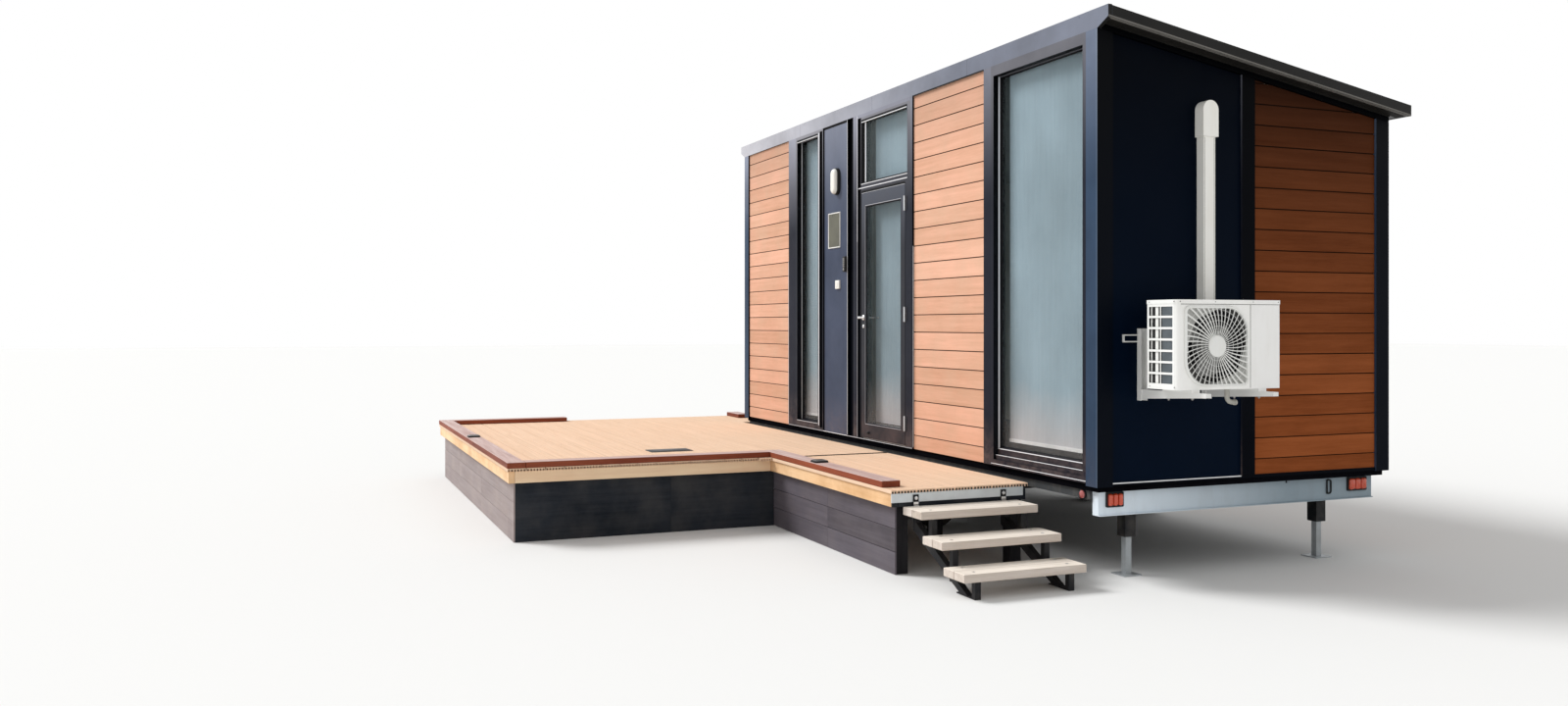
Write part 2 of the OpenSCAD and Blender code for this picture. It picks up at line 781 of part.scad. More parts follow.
// The door frame's halves of the hinges: outer knuckles with their plates
module door_hinges() {
    color("silver") at_house()
        for (z = hinge_zs) {
            block([hinge_x + 9, -side_y - 3, z - hinge_l / 2], [hinge_x + 34, -side_y, z + hinge_l / 2]);
            for (z0 = [z - hinge_l / 2, z + hinge_l / 6]) {
                translate([hinge_x, hinge_y, z0]) cylinder(r = knuckle_r, h = hinge_l / 3);
                block([hinge_x + 3, -side_y - 3, z0], [hinge_x + 9, -side_y, z0 + hinge_l / 3]);
            }
        }
}

// Oval bulkhead lamp on the dark panel
module wall_lamp() {
    x = dark_x1 - 235;
    z = head_z - lamp_drop;
    color("#e8e6df") at_house() translate([x, -board_y, z]) rotate([90, 0, 0]) {
        hull() for (s = [-1, 1]) translate([0, s * (lamp_h - lamp_w) / 2, 0]) cylinder(d = lamp_w, h = 22);
        hull() for (s = [-1, 1]) translate([0, s * (lamp_h - lamp_w) / 2, 22])
            cylinder(d1 = lamp_w - 12, d2 = lamp_w - 34, h = lamp_d - 22);
    }
}

// Bare plaque on the dark panel
module plaque() {
    x = dark_x1 - 303;
    z = head_z - plaque_drop;
    color("#2a2a2c") at_house()
        block([x - plaque_w / 2, -board_y - plaque_t, z - plaque_h / 2], [x + plaque_w / 2, -board_y, z + plaque_h / 2]);
}

// Key box and white switch on the dark panel
module wall_fittings() {
    key_x = dark_x1 - 56;
    key_z = floor_z + key_h;
    switch_x = dark_x1 - 263;
    switch_z = floor_z + switch_h;
    color("#202124") at_house() {
        block([key_x, -board_y - 38, key_z], [key_x + 50, -board_y, key_z + 142]);
        block([switch_x, -board_y - 20, switch_z], [switch_x + 86, -board_y, switch_z + 80]);
    }
}

// Casing of the outdoor unit, with its lid, the fan's well, the motor and the side louvres
module ac_casing() {
    color("#e6e4dc") at_house() {
        difference() {
            union() {
                translate([(ac_x0 + ac_x1) / 2, (ac_y0 + ac_y1) / 2, ac_z]) linear_extrude(ac_h - lid_t)
                    polygon(round_corners(ac_d - 6, ac_w - 6, [6, corner_r, 8, 6]));
                translate([(ac_x0 + ac_x1) / 2, (ac_y0 + ac_y1) / 2, ac_z1 - lid_t]) linear_extrude(lid_t)
                    polygon(round_corners(ac_d, ac_w, [8, corner_r + 3, 10, 8]));
            }
            translate([ac_x1 - well_d, fan_y, fan_z]) rotate([0, 90, 0])
                cylinder(r = well_r, h = well_d + 1, $fn = 96);
            for (i = [0 : 6], j = [0 : 1])
                block([ac_x0 + 24 + j * ac_d * 0.39, ac_y0 - 1, ac_z + 36 + i * louvre_pitch],
                      [ac_x0 + 24 + (j + 0.93) * ac_d * 0.39, ac_y0 + 22, ac_z + 36 + (i + 0.8) * louvre_pitch]);
            block([ac_x0 - 1, ac_y0 + 40, ac_z + 30], [ac_x0 + 12, ac_y0 + ac_w * 0.66, ac_z1 - 50]);
        }
        translate([ac_x1 - well_d, fan_y, fan_z]) rotate([0, 90, 0]) cylinder(r = 60, h = 50);
        for (y = arm_ys)
            block([ac_x0 + 10, y - 30, ac_z - foot_h], [ac_x1 - 10, y + 30, ac_z]);
    }
}

// Guard over the fan: a rim with two tight and two wide corners, rings and spokes round a middle disc
module ac_fan_guard() {
    tight = guard_w / 14;
    wide = guard_w * 0.33;
    rim_w = 16;
    reach = guard_w / 2 - rim_w;
    pitch = (reach - hub_r) / guard_rings;
    color("#dedcd4") at_house() translate([0, fan_y, fan_z]) {
        along_x(ac_x1 - 3, ac_x1 + guard_d) difference() {
            polygon(round_corners(guard_w, guard_w, [wide, tight, wide, tight], 16));
            polygon(round_corners(2 * reach, 2 * reach, [wide - rim_w, tight - rim_w / 2, wide - rim_w,
                                                         tight - rim_w / 2], 16));
        }
        translate([ac_x1, 0, 0]) rotate([0, 90, 0]) {
            cylinder(r = hub_r, h = guard_d);
            for (i = [1 : guard_rings - 1]) difference() {
                r = hub_r + i * pitch;
                translate([0, 0, guard_d - 2 * wire_t]) cylinder(r = r + wire_t / 2, h = wire_t, $fn = 96);
                translate([0, 0, guard_d - 2 * wire_t - 1]) cylinder(r = r - wire_t / 2, h = wire_t + 2, $fn = 96);
            }
            for (k = [0 : guard_spokes - 1]) rotate([0, 0, (k + 0.5) * 360 / guard_spokes])
                translate([hub_r - 2, -wire_t / 2, guard_d - 1.5 * wire_t])
                    cube([reach - hub_r + 6, wire_t, wire_t]);
        }
    }
}

// Fan of the outdoor unit
module ac_fan() {
    x0 = ac_x1 - well_d + 55;
    color("#8d9190") at_house() translate([x0, fan_y, fan_z]) rotate([0, 90, 0]) {
        cylinder(r = hub_r + 12, h = 70);
        translate([0, 0, -shaft_gap]) cylinder(r = 8, h = shaft_gap + 1);
        for (k = [0 : blades - 1]) rotate([0, 0, k * 360 / blades])
            translate([hub_r, 0, 35]) rotate([26, 0, 0])
                linear_extrude(5, center = true) polygon([
                    [0, -30], [60, -70], [fan_r - hub_r - 20, -62], [fan_r - hub_r - 14, 20],
                    [fan_r - hub_r - 40, 66], [40, 48], [0, 30]
                ]);
    }
}

// Wall bracket under the outdoor unit, with tapered arms and a strap beside it
module ac_bracket() {
    strap_y = arm_ys[0] - 25 - play;
    strap_z = ac_z + channel_h * 0.83;
    z1 = ac_z - foot_h;
    color("#efefec") at_house() {
        for (z = [strap_z - 25, strap_z + 17])
            block([board_x, strap_y - 108, z], [board_x + 14, strap_y, z + 8]);
        block([board_x, strap_y - 116, strap_z - 25], [board_x + 14, strap_y - 108, strap_z + 25]);
        for (y = arm_ys) {
            difference() {
                block([board_x, y - 25, z1 - arm_h - 11], [end_x + 25, y + 25, ac_z + channel_h]);
                block([board_x + 4, y - 21, z1 - arm_h - 12], [end_x + 26, y + 21, ac_z + channel_h + 1]);
            }
            difference() {
                along_y(y - 20, y + 20) polygon([
                    [board_x + 4 + play, z1], [board_x + 4 + play, z1 - arm_h],
                    [ac_x1 + arm_out, z1 - arm_tip_h], [ac_x1 + arm_out, z1]
                ]);
                along_y(y - 16, y + 16) polygon([
                    [board_x, z1 - 4], [board_x, z1 - arm_h - 1],
                    [ac_x1 + arm_out - 4, z1 - arm_tip_h - 1], [ac_x1 + arm_out - 4, z1 - 4]
                ]);
            }
        }
    }
}

// Pipe cover from the outdoor unit up the wall, with its cap
module duct_cover() {
    color("#efeee8") at_house() {
        block([board_x, duct_y - duct_w / 2, ac_z + channel_h + 4],
              [board_x + duct_d, duct_y + duct_w / 2, duct_z1 - duct_cap_h - play]);
        block([board_x, duct_y - cap_half, duct_z1 - duct_cap_h],
              [board_x + duct_d + 15, duct_y + cap_half, duct_z1 - cap_half]);
        translate([board_x, duct_y, duct_z1 - cap_half]) rotate([0, 90, 0]) cylinder(r = cap_half, h = duct_d + 15);
    }
}

// Main rails of the trailer with their cross members, outriggers and edge rails
module chassis() {
    color("#9ea3a6") at_house() {
        for (s = [-1, 1]) {
            y0 = s > 0 ? edge_rail_y - edge_rail_w : -edge_rail_y;
            block([-frame_x, s * rail_y - rail_w / 2, beam_z0], [beam_x - beam_w, s * rail_y + rail_w / 2, beam_z1]);
            block([-frame_x, y0, beam_z1 - edge_rail_h], [beam_x - beam_w - hairline, y0 + edge_rail_w, beam_z1]);
        }
        for (i = [0 : cross_count - 1]) {
            x = -jack_x + i * 2 * jack_x / (cross_count - 1);
            in_y = rail_y - rail_w / 2 - hairline;
            out_y = rail_y + rail_w / 2 + hairline;
            block([x - cross_w / 2, -in_y, beam_z1 - cross_h], [x + cross_w / 2, in_y, beam_z1]);
            reach = edge_rail_y - edge_rail_w - hairline - out_y;
            if (abs(x - axles_x) > guard_half + cross_w)
                for (y = [-out_y - reach, out_y])
                    block([x - cross_w / 2, y, beam_z1 - cross_h], [x + cross_w / 2, y + reach, beam_z1]);
        }
    }
}

// Galvanised beam across the rear
module rear_beam() {
    color("#c3c8ca") at_house() {
        difference() {
            block([beam_x - beam_w, -side_y + 67, beam_z0], [beam_x, side_y - 80, beam_z1]);
            block([beam_x - beam_w - 1, -side_y + 73, beam_z0 + 5], [beam_x - 5, side_y - 86, beam_z1 - 5]);
        }
        block([beam_x - 5, -side_y + 67, beam_z0], [beam_x + 14, side_y - 80, beam_z0 + 6]);
    }
}

// Tail lamps on their backs, round side markers and a lashing loop
module trailer_lamps() {
    loop_y = side_y - 485;
    color("#a3231c") at_house() {
        for (y = [[-side_y + 123, -side_y + 258], [side_y - 315, side_y - 136]]) {
            block([beam_x, y[0], beam_z0 + 54], [beam_x + 12, y[1], beam_z1 - 8]);
            block([beam_x + 12, y[0] + 6, beam_z0 + 60], [beam_x + 30, y[1] - 6, beam_z1 - 14]);
        }
        for (s = [-1, 1]) translate([jack_x + 40, s * (edge_rail_y + 11), beam_z1 - 33])
            rotate([90, 0, 0]) cylinder(r = 31, h = 22, center = true);
        along_x(beam_x, beam_x + 12) translate([loop_y, beam_z1 - 66]) difference() {
            polygon(round_corners(46, 104, [4, 22, 22, 4]));
            polygon(round_corners(26, 84, [2, 12, 12, 2]));
        }
    }
}

// Axle beams with their leaf springs and hangers
module axles() {
    spring_z = tyre_r + 25 + play;
    half = axle_gap / 2 - 12;
    color("#55585b") at_house()
        for (s = [-1, 1]) {
            x = axles_x + s * axle_gap / 2;
            translate([x, 0, tyre_r]) rotate([90, 0, 0])
                cylinder(r = 25, h = 2 * (wheel_y - rim_d), center = true);
            for (t = [-1, 1]) {
                along_y(t * rail_y - 25, t * rail_y + 25) polygon(concat(
                    [for (i = [-6 : 6]) [x + half * i / 6, spring_z + 50 * pow(i / 6, 2)]],
                    [for (i = [6 : -1 : -6]) [x + half * i / 6, spring_z + 34 + 32 * pow(i / 6, 2)]]
                ));
                for (e = [-1, 1])
                    block([x + e * (half - 20) - 20, t * rail_y - 22, spring_z + 66 + play],
                          [x + e * (half - 20) + 20, t * rail_y + 22, beam_z0]);
            }
        }
}

// Tyres
module tyres() {
    color("#1c1c1d") at_house()
        for (s = [-1, 1], t = [-1, 1])
            translate([axles_x + s * axle_gap / 2, t * wheel_y, tyre_r]) rotate([90, 0, 0])
                rotate_extrude($fn = 72) polygon([
                    [rim_r, -rim_d], [tyre_r - 35, -tyre_w / 2], [tyre_r - 8, -tyre_w / 2 + 18],
                    [tyre_r, -tyre_w / 2 + 34], [tyre_r, tyre_w / 2 - 34], [tyre_r - 8, tyre_w / 2 - 18],
                    [tyre_r - 35, tyre_w / 2], [rim_r, rim_d]
                ]);
}

// White wheel rims with round holes
module wheel_rims() {
    color("white") at_house()
        for (s = [-1, 1], t = [-1, 1])
            translate([axles_x + s * axle_gap / 2, t * wheel_y, tyre_r]) rotate([-90 * t, 0, 0]) difference() {
                cylinder(r = rim_r, h = 2 * rim_d, center = true, $fn = 72);
                translate([0, 0, 10]) cylinder(r1 = 100, r2 = 165, h = tyre_w / 2, $fn = 72);
                for (k = [0 : 7]) rotate([0, 0, k * 45])
                    translate([75, 0, -tyre_w]) cylinder(r = 13, h = 2 * tyre_w);
            }
}

// Mudguards with sloped ends over both pairs of wheels
module mudguards() {
    half = guard_half;
    top = beam_z1;
    color("#1c1d1f") at_house()
        for (t = [-1, 1]) {
            y0 = t > 0 ? wheel_y - tyre_w / 2 : -wheel_y - tyre_w / 2;
            along_y(y0, y0 + tyre_w) difference() {
                polygon([
                    [axles_x - half, tyre_r + 60], [axles_x - half + 150, top], [axles_x + half - 150, top],
                    [axles_x + half, tyre_r + 60]
                ]);
                polygon([
                    [axles_x - half + 4, tyre_r + 50], [axles_x - half + 153, top - 4],
                    [axles_x + half - 153, top - 4], [axles_x + half - 4, tyre_r + 50]
                ]);
            }
        }
}

// Corner jack legs with their foot plates
module jack_legs() {
    color("#2b2c2e") at_house()
        for (s = [-1, 1], t = [-1, 1]) translate([s * jack_x, t * jack_y, 0]) {
            block([-70, -70, 0], [70, 70, 8]);
            block([-leg_w / 2, -leg_w / 2, 8], [leg_w / 2, leg_w / 2, beam_z0 - 174 - play]);
            block([-jack_w / 2, -jack_w / 2, beam_z0 - 174], [jack_w / 2, jack_w / 2, beam_z1 - cross_h]);
        }
}

// A-frame drawbar with its coupling
module drawbar() {
    color("#9ea3a6") at_house() {
        for (s = [-1, 1]) hull() {
            block([-frame_x - 40, s * rail_y - 25, beam_z0 + 30], [-frame_x, s * rail_y + 25, beam_z1 - 20]);
            block([drawbar_x + 200, s * 40 - 25, beam_z0 + 30], [drawbar_x + 220, s * 40 + 25, beam_z1 - 20]);
        }
        block([drawbar_x + 110, -65, beam_z0 + 20], [drawbar_x + 200, 65, beam_z1 - 10]);
        translate([drawbar_x + 60, 0, beam_z0 + 40]) cylinder(r = 60, h = 70);
    }
}

// Edge boards, joists and posts that carry the decking
module deck_frame() {
    color("#c8a46a") at_house() {
        edge_boards();
        joists();
        posts();
    }
}

module edge_boards() {
    x0 = platform_x0 + rim_set;
    x1 = platform_x - rim_set;
    x2 = walkway_x1 - rim_set;
    y0 = platform_y0 + rim_set;
    y1 = walkway_y0 + rim_set;
    y2 = deck_y1 - rim_set;
    block([x0, y0, joist_z0], [x1, y0 + joist_t, joist_z1]);
    y3 = beside_y1 - rim_set;
    x3 = beside_x1 - rim_set;
    block([x0, y0 + joist_t + hairline, joist_z0], [x0 + joist_t, y3, joist_z1]);
    block([x0 + joist_t + hairline, y3 - joist_t, joist_z0], [x3, y3, joist_z1]);
    block([x3 - joist_t, y2 + hairline, joist_z0], [x3, y3 - joist_t - hairline, joist_z1]);
    block([x1 - joist_t, y0 + joist_t + hairline, joist_z0], [x1, y1 - hairline, joist_z1]);
    block([x1 - joist_t, y1, joist_z0], [x2, y1 + joist_t, joist_z1]);
    block([x2 - joist_t, y1 + joist_t + hairline, joist_z0], [x2, y2, joist_z1]);
    block([x0 + joist_t + hairline, y2 - joist_t, joist_z0], [x2 - joist_t - hairline, y2, joist_z1]);
}

module joists() {
    y0 = platform_y0 + skirt_set + hairline;
    y1 = walkway_y0 + skirt_set + hairline;
    y2 = deck_y1 - skirt_set - hairline;
    for (i = [0 : joist_count - 1])
        block([joist_x(i), y0, joist_z0], [joist_x(i) + joist_t, y2, joist_z1]);
    for (i = [1 : 4])
        block([walkway_joist_x(i), y1, joist_z0], [walkway_joist_x(i) + joist_t, y2, joist_z1]);
}

module posts() {
    half = (joist_count - 1) / 2;
    y0 = platform_y0 + post_set;
    y2 = deck_y1 - rim_set - post_w;
    for (x = [joist_x(0), joist_x(half) + (joist_t - post_w) / 2, joist_x(2 * half) + joist_t - post_w],
         y = [y0, (y0 + y2) / 2, y2])
        block([x, y, 0], [x + post_w, y + post_w, joist_z0 - play]);
    for (x = [joist_x(0), beside_x1 - rim_set - post_w])
        block([x, beside_y1 - rim_set - post_w, 0], [x + post_w, beside_y1 - rim_set, joist_z0 - play]);
    for (x = [walkway_joist_x(2), walkway_joist_x(4)], y = [walkway_y0 + post_set, y2])
        block([x + joist_t - post_w, y, 0], [x + joist_t, y + post_w, joist_z0 - play]);
}

// Decking boards of the platform, its part beside the house's corner and the walkway
module decking() {
    color("#c98f4e") at_house() {
        block([platform_x0, platform_y0, joist_z1], [platform_x, deck_y1, deck_z]);
        block([platform_x0, deck_y1 + hairline, joist_z1], [beside_x1, beside_y1, deck_z]);
        block([platform_x + hairline, walkway_y0, joist_z1], [walkway_x1, deck_y1, deck_z]);
    }
}

// Kerb boards laid round the outer edges
module deck_kerbs() {
    color("#7c4a33") at_house() {
        block([platform_x0, platform_y0 + kerb_w + hairline, deck_z],
              [platform_x0 + kerb_w, platform_y0 + side_kerb_l, deck_z + kerb_t]);
        block([platform_x0, beside_y1 - kerb_w, deck_z],
              [platform_x0 + back_kerb_l, beside_y1, deck_z + kerb_t]);
        block([platform_x0, platform_y0, deck_z], [platform_x, platform_y0 + kerb_w, deck_z + kerb_t]);
        block([platform_x - kerb_w, platform_y0 + kerb_w + hairline, deck_z],
              [platform_x, walkway_y0 - hairline, deck_z + kerb_t]);
        block([platform_x - kerb_w, walkway_y0, deck_z],
              [walkway_x1 - kerb_short, walkway_y0 + kerb_w, deck_z + kerb_t]);
    }
}

// Dark skirt boards down to the ground
module deck_skirts() {
    color("#232426") at_house() {
        x0 = platform_x0 + skirt_set;
        x1 = platform_x - skirt_set;
        x2 = walkway_x1 - skirt_set;
        y0 = platform_y0 + skirt_set;
        y1 = walkway_y0 + skirt_set;
        y2 = deck_y1 - rim_set;
        block([x0, y0, 0], [x1, y0 + skirt_t, joist_z0]);
        block([x0, y0 + skirt_t + hairline, 0], [x0 + skirt_t, beside_y1 - rim_set, joist_z0]);
        block([x1 - skirt_t, y0 + skirt_t + hairline, 0], [x1, y1 - hairline, joist_z0]);
        block([x1 - skirt_t, y1, 0], [x2, y1 + skirt_t, joist_z0]);
    }
}

// Galvanised angle with its clips along the walkway's end, and black stringers under the treads
module stair_steel() {
    x0 = walkway_x1 - rim_set;
    angle_z0 = joist_z1 - angle_h;
    foot_x = stairs_x0 + 2 * step_run + tread_l;
    color("#202124") at_house() {
        block([x0, walkway_y0 + 4, angle_z0], [walkway_x1 - 3, deck_y1 - 40, joist_z1]);
        for (y = [tread_y0 + 101, tread_y1 - 105]) {
            block([walkway_x1 - 3, y - tube_w / 2, angle_z0 - 190], [walkway_x1 + 5, y + tube_w / 2, joist_z1 - 12]);
            along_y(y - tube_w / 2, y + tube_w / 2) {
                polygon([
                    [walkway_x1 + 5, top_tread_z - tread_t], [walkway_x1 + 5, angle_z0 - 190],
                    [foot_x - 190, 8], [foot_x - 100, 8], [walkway_x1 + tube_w, angle_z0 - 130],
                    [walkway_x1 + tube_w, top_tread_z - tread_t]
                ]);
                for (i = [0 : 2]) {
                    z = top_tread_z - tread_t - i * step_rise;
                    x = stairs_x0 + i * step_run;
                    low = i == 2 ? 8 : angle_z0 - 150 - (i + 1) * step_rise + 20;
                    translate([x - 5, z - 10]) square([tread_l - 5, 10]);
                    translate([x + tread_l - 10 - tube_w, low]) square([tube_w, z - low]);
                }
                translate([foot_x - 230, 0]) square([220, 8]);
            }
        }
    }
}

// Timber treads
module stair_treads() {
    color("#b59a72") at_house()
        for (i = [0 : 2]) {
            z = top_tread_z - i * step_rise;
            x = stairs_x0 + i * step_run;
            block([x, tread_y0, z - tread_t], [x + tread_l, tread_y1, z]);
        }
}

// Low lamps on the kerbs
module deck_lights() {
    color("#151515") at_house()
        for (p = [[platform_x + walkway_l * 0.39, walkway_y0 + kerb_w / 2],
                  [platform_x0 + platform_l * 0.49, platform_y0 + kerb_w / 2]])
            translate([p[0], p[1], deck_z + kerb_t])
                block([-deck_light_w / 2, -deck_light_w / 2, 0], [deck_light_w / 2, deck_light_w / 2, 20]);
}

floor();
front_wall_left();
front_wall_right();
front_wall_head();
back_wall();
end_wall_right();
end_wall_left();
roof();
roof_flashings();
timber_front();
timber_ends();
timber_back();
dark_panels();
corner_trims();
wall_trims();
front_window_frames();
rear_window_frames();
window_glass();
roller_blinds();
blind_rails();
door_frame();
door_leaf();
door_glass();
door_blind();
door_handle();
door_hinges();
wall_lamp();
plaque();
wall_fittings();
ac_casing();
ac_fan_guard();
ac_fan();
ac_bracket();
duct_cover();
chassis();
rear_beam();
trailer_lamps();
axles();
tyres();
wheel_rims();
mudguards();
jack_legs();
drawbar();
deck_frame();
decking();
deck_kerbs();
deck_skirts();
stair_steel();
stair_treads();
deck_lights();
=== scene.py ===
import json
import math
import random

import bmesh
import bpy
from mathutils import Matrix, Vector


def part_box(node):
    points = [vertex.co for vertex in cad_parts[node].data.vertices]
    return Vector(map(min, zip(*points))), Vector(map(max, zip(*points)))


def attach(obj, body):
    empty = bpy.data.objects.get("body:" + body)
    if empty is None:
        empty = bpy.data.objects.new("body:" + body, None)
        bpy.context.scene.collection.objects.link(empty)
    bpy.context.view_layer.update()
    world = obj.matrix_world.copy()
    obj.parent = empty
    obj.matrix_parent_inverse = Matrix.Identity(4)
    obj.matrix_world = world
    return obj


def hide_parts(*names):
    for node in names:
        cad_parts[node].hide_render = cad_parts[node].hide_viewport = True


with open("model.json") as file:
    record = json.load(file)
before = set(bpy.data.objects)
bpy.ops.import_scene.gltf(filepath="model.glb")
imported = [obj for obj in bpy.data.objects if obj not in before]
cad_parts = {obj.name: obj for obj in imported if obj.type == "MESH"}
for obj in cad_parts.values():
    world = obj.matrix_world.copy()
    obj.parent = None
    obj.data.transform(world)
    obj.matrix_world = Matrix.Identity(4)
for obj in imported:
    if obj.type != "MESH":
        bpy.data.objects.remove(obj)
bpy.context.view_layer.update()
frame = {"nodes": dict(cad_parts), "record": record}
nodes = frame["nodes"]
slotOf = {row["node"]: row["material_slot"] for row in frame["record"]["subparts"]}
floorLow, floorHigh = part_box("floor")
middle = ((floorLow.x + floorHigh.x) / 2, (floorLow.y + floorHigh.y) / 2)
print("frame loaded with", len(nodes), "solids")

# the house in its own millimetres: x along the front wall, y to the back, z up
house = {
    "sideY": 1250,
    "wallX": 3160,
    "wallY": 1220,
    "boardY": 1235,
    "frontH": 3580,
    "headZ": 3530,
    "roofT": 75,
    "slope": math.tan(math.radians(10)),
    "bandH": 50,
    "knuckleY": -1253.2,
    "doorFaceY": -1250,
    "doorBackY": -1210,
}


def place(x, y, z):
    # house millimetres to metres in the shared frame
    return Vector((x / 1000 + middle[0], y / 1000 + middle[1], z / 1000))


def under(y):
    # underside of the roof above any y
    return house["frontH"] - (y + house["sideY"]) * house["slope"]


def addObject(name, data):
    made = bpy.data.objects.new(name, data)
    bpy.context.scene.collection.objects.link(made)
    return made


def addMesh(name, mesh, look):
    data = bpy.data.meshes.new(name)
    mesh.to_mesh(data)
    mesh.free()
    data.materials.append(look)
    return data


camera = {
    "place": (9514, -5977, 1652),
    "heading": 67.73,
    "lens": 27.80,
    "filmWidth": 36,
    "horizonRow": 331.7,
    "photoSize": (1600, 720),
}


def makeCamera():
    eye = addObject("camera", bpy.data.cameras.new("camera"))
    eye.location = place(*camera["place"])
    eye.rotation_euler = (math.radians(90), 0, math.radians(camera["heading"]))
    eye.data.lens = camera["lens"]
    eye.data.sensor_width = camera["filmWidth"]
    width, height = camera["photoSize"]
    eye.data.shift_y = (camera["horizonRow"] - height / 2) / width
    bpy.context.scene.camera = eye


makeCamera()
print("camera set")


# shader kit: a wire is an output socket that can be added, scaled and compared
class Wire:
    def __init__(self, graph, socket):
        self.graph = graph
        self.socket = socket

    def __add__(self, other):
        return self.graph.calc("ADD", self, other)

    def __radd__(self, other):
        return self.graph.calc("ADD", other, self)

    def __sub__(self, other):
        return self.graph.calc("SUBTRACT", self, other)

    def __rsub__(self, other):
        return self.graph.calc("SUBTRACT", other, self)

    def __mul__(self, other):
        return self.graph.calc("MULTIPLY", self, other)

    def __rmul__(self, other):
        return self.graph.calc("MULTIPLY", other, self)

    def __truediv__(self, other):
        return self.graph.calc("DIVIDE", self, other)

    def __rtruediv__(self, other):
        return self.graph.calc("DIVIDE", other, self)

    def __pow__(self, other):
        return self.graph.calc("POWER", self, other)

    def __rpow__(self, other):
        return self.graph.calc("POWER", other, self)

    def __gt__(self, other):
        return self.graph.calc("GREATER_THAN", self, other)

    def __lt__(self, other):
        return self.graph.calc("LESS_THAN", self, other)


class Graph:
    def __init__(self, owner):
        owner.use_nodes = True
        self.owner = owner
        self.tree = owner.node_tree
        self.tree.nodes.clear()

    def node(self, kind, settings=None, inputs=None, output=0):
        made = self.tree.nodes.new("ShaderNode" + kind)
        for name, value in (settings or {}).items():
            if name == "stops":
                self.setStops(made.color_ramp, value)
            else:
                setattr(made, name, value)
        for name, value in (inputs or {}).items():
            socket = made.inputs[name]
            if isinstance(value, Wire):
                self.tree.links.new(value.socket, socket)
            elif socket.type == "RGBA" and len(value) == 3:
                socket.default_value = (*value, 1)
            else:
                socket.default_value = value
        return None if output is None else Wire(self, made.outputs[output])

    def setStops(self, ramp, stops):
        for element, (spot, tone) in zip(ramp.elements, stops):
            element.position = spot
            element.color = (*tone, 1)

    def calc(self, operation, *values):
        return self.node("Math", {"operation": operation}, dict(enumerate(values)))

    def mix(self, amount, first, second, blend="MIX"):
        settings = {"data_type": "RGBA", "blend_type": blend}
        return self.node("Mix", settings, {0: amount, 6: first, 7: second}, 2)

    def between(self, value, low, high, start=0.0, stop=1.0):
        inputs = {"Value": value, "From Min": low, "From Max": high, "To Min": start, "To Max": stop}
        return self.node("MapRange", inputs=inputs)

    def here(self):
        return self.node("TexCoord", output="Object")

    def chance(self):
        return self.node("NewGeometry", output="Random Per Island")

    def axis(self, index):
        return self.node("SeparateXYZ", inputs={0: self.here()}, output=index)

    def facing(self, index):
        # which way the surface looks: 1 is along the axis, -1 against it
        return self.node("SeparateXYZ", inputs={0: self.node("TexCoord", output="Normal")}, output=index)

    def shift(self, where, amount):
        spread = self.node("VectorMath", {"operation": "MULTIPLY"}, {0: amount, 1: (17.3, 11.9, 7.7)})
        return self.node("VectorMath", {"operation": "ADD"}, {0: where, 1: spread})

    def squeeze(self, where, scale):
        return self.node("Mapping", inputs={"Vector": where, "Scale": scale})

    def noise(self, where, scale, detail=3.0, rough=0.5):
        inputs = {"Vector": where, "Scale": scale, "Detail": detail, "Roughness": rough}
        return self.node("TexNoise", inputs=inputs)

    def cells(self, where, scale, output="Distance"):
        return self.node("TexVoronoi", inputs={"Vector": where, "Scale": scale}, output=output)

    def ramp(self, amount, low, dark, high, light):
        return self.node("ValToRGB", {"stops": [(low, dark), (high, light)]}, {"Fac": amount})

    def bump(self, height, strength, depth=0.001):
        inputs = {"Height": height, "Strength": strength, "Distance": depth}
        return self.node("Bump", inputs=inputs)

    def surface(self, inputs):
        shader = self.node("BsdfPrincipled", inputs=inputs)
        self.node("OutputMaterial", inputs={"Surface": shader}, output=None)
        return self.owner


def newGraph(name):
    return Graph(bpy.data.materials.new(name))


def scaled(tone, amount, more=0.0):
    return tuple(value * amount + more for value in tone)


def stretched(along, share):
    # scale that draws a pattern out along one axis
    return tuple(share if axis == along else 1 for axis in "xyz")


# tones of dirt on the finishes, of painted shade in grooves and hollows, of painted reflection low on the
# glass and blinds, and of the bright hinge knuckles
dirtAndPaintedLight = {
    # painted shade in the cladding's grooves
    "groove": (0.012, 0.006, 0.003),
    "dust": (0.33, 0.29, 0.24),
    "splash": (0.26, 0.19, 0.17),
    "leafSplash": (0.20, 0.13, 0.12),
    "stain": (0.20, 0.18, 0.15),
    "mud": (0.20, 0.17, 0.14),
    "scuff": (0.19, 0.17, 0.15),
    # painted reflection: glass and blinds paler and pinker low down
    "glassFoot": (0.66, 0.56, 0.53),
    "blindFoot": (0.70, 0.66, 0.66),
    "rain": (0.72, 0.70, 0.65),
    "deepShade": (0.010, 0.010, 0.012),
    "knuckle": (0.85, 0.86, 0.88),
}


cladding = {
    "pitch": 140.5,
    "topJoint": 3426,
    "leastBoard": 8,
    "groove": 7.5,
    "grooveDepth": 11.0,
    "thick": 15.0,
    "round": 1.2,
    "front": [(-3070, -1900), (742, 1840)],
    "back": [(-3070, -2070), (2070, 3070)],
    "apron": (-1150, 1150, 1550),
    "end": (32, 1128, 650, 3500),
    "foot": 640,
}


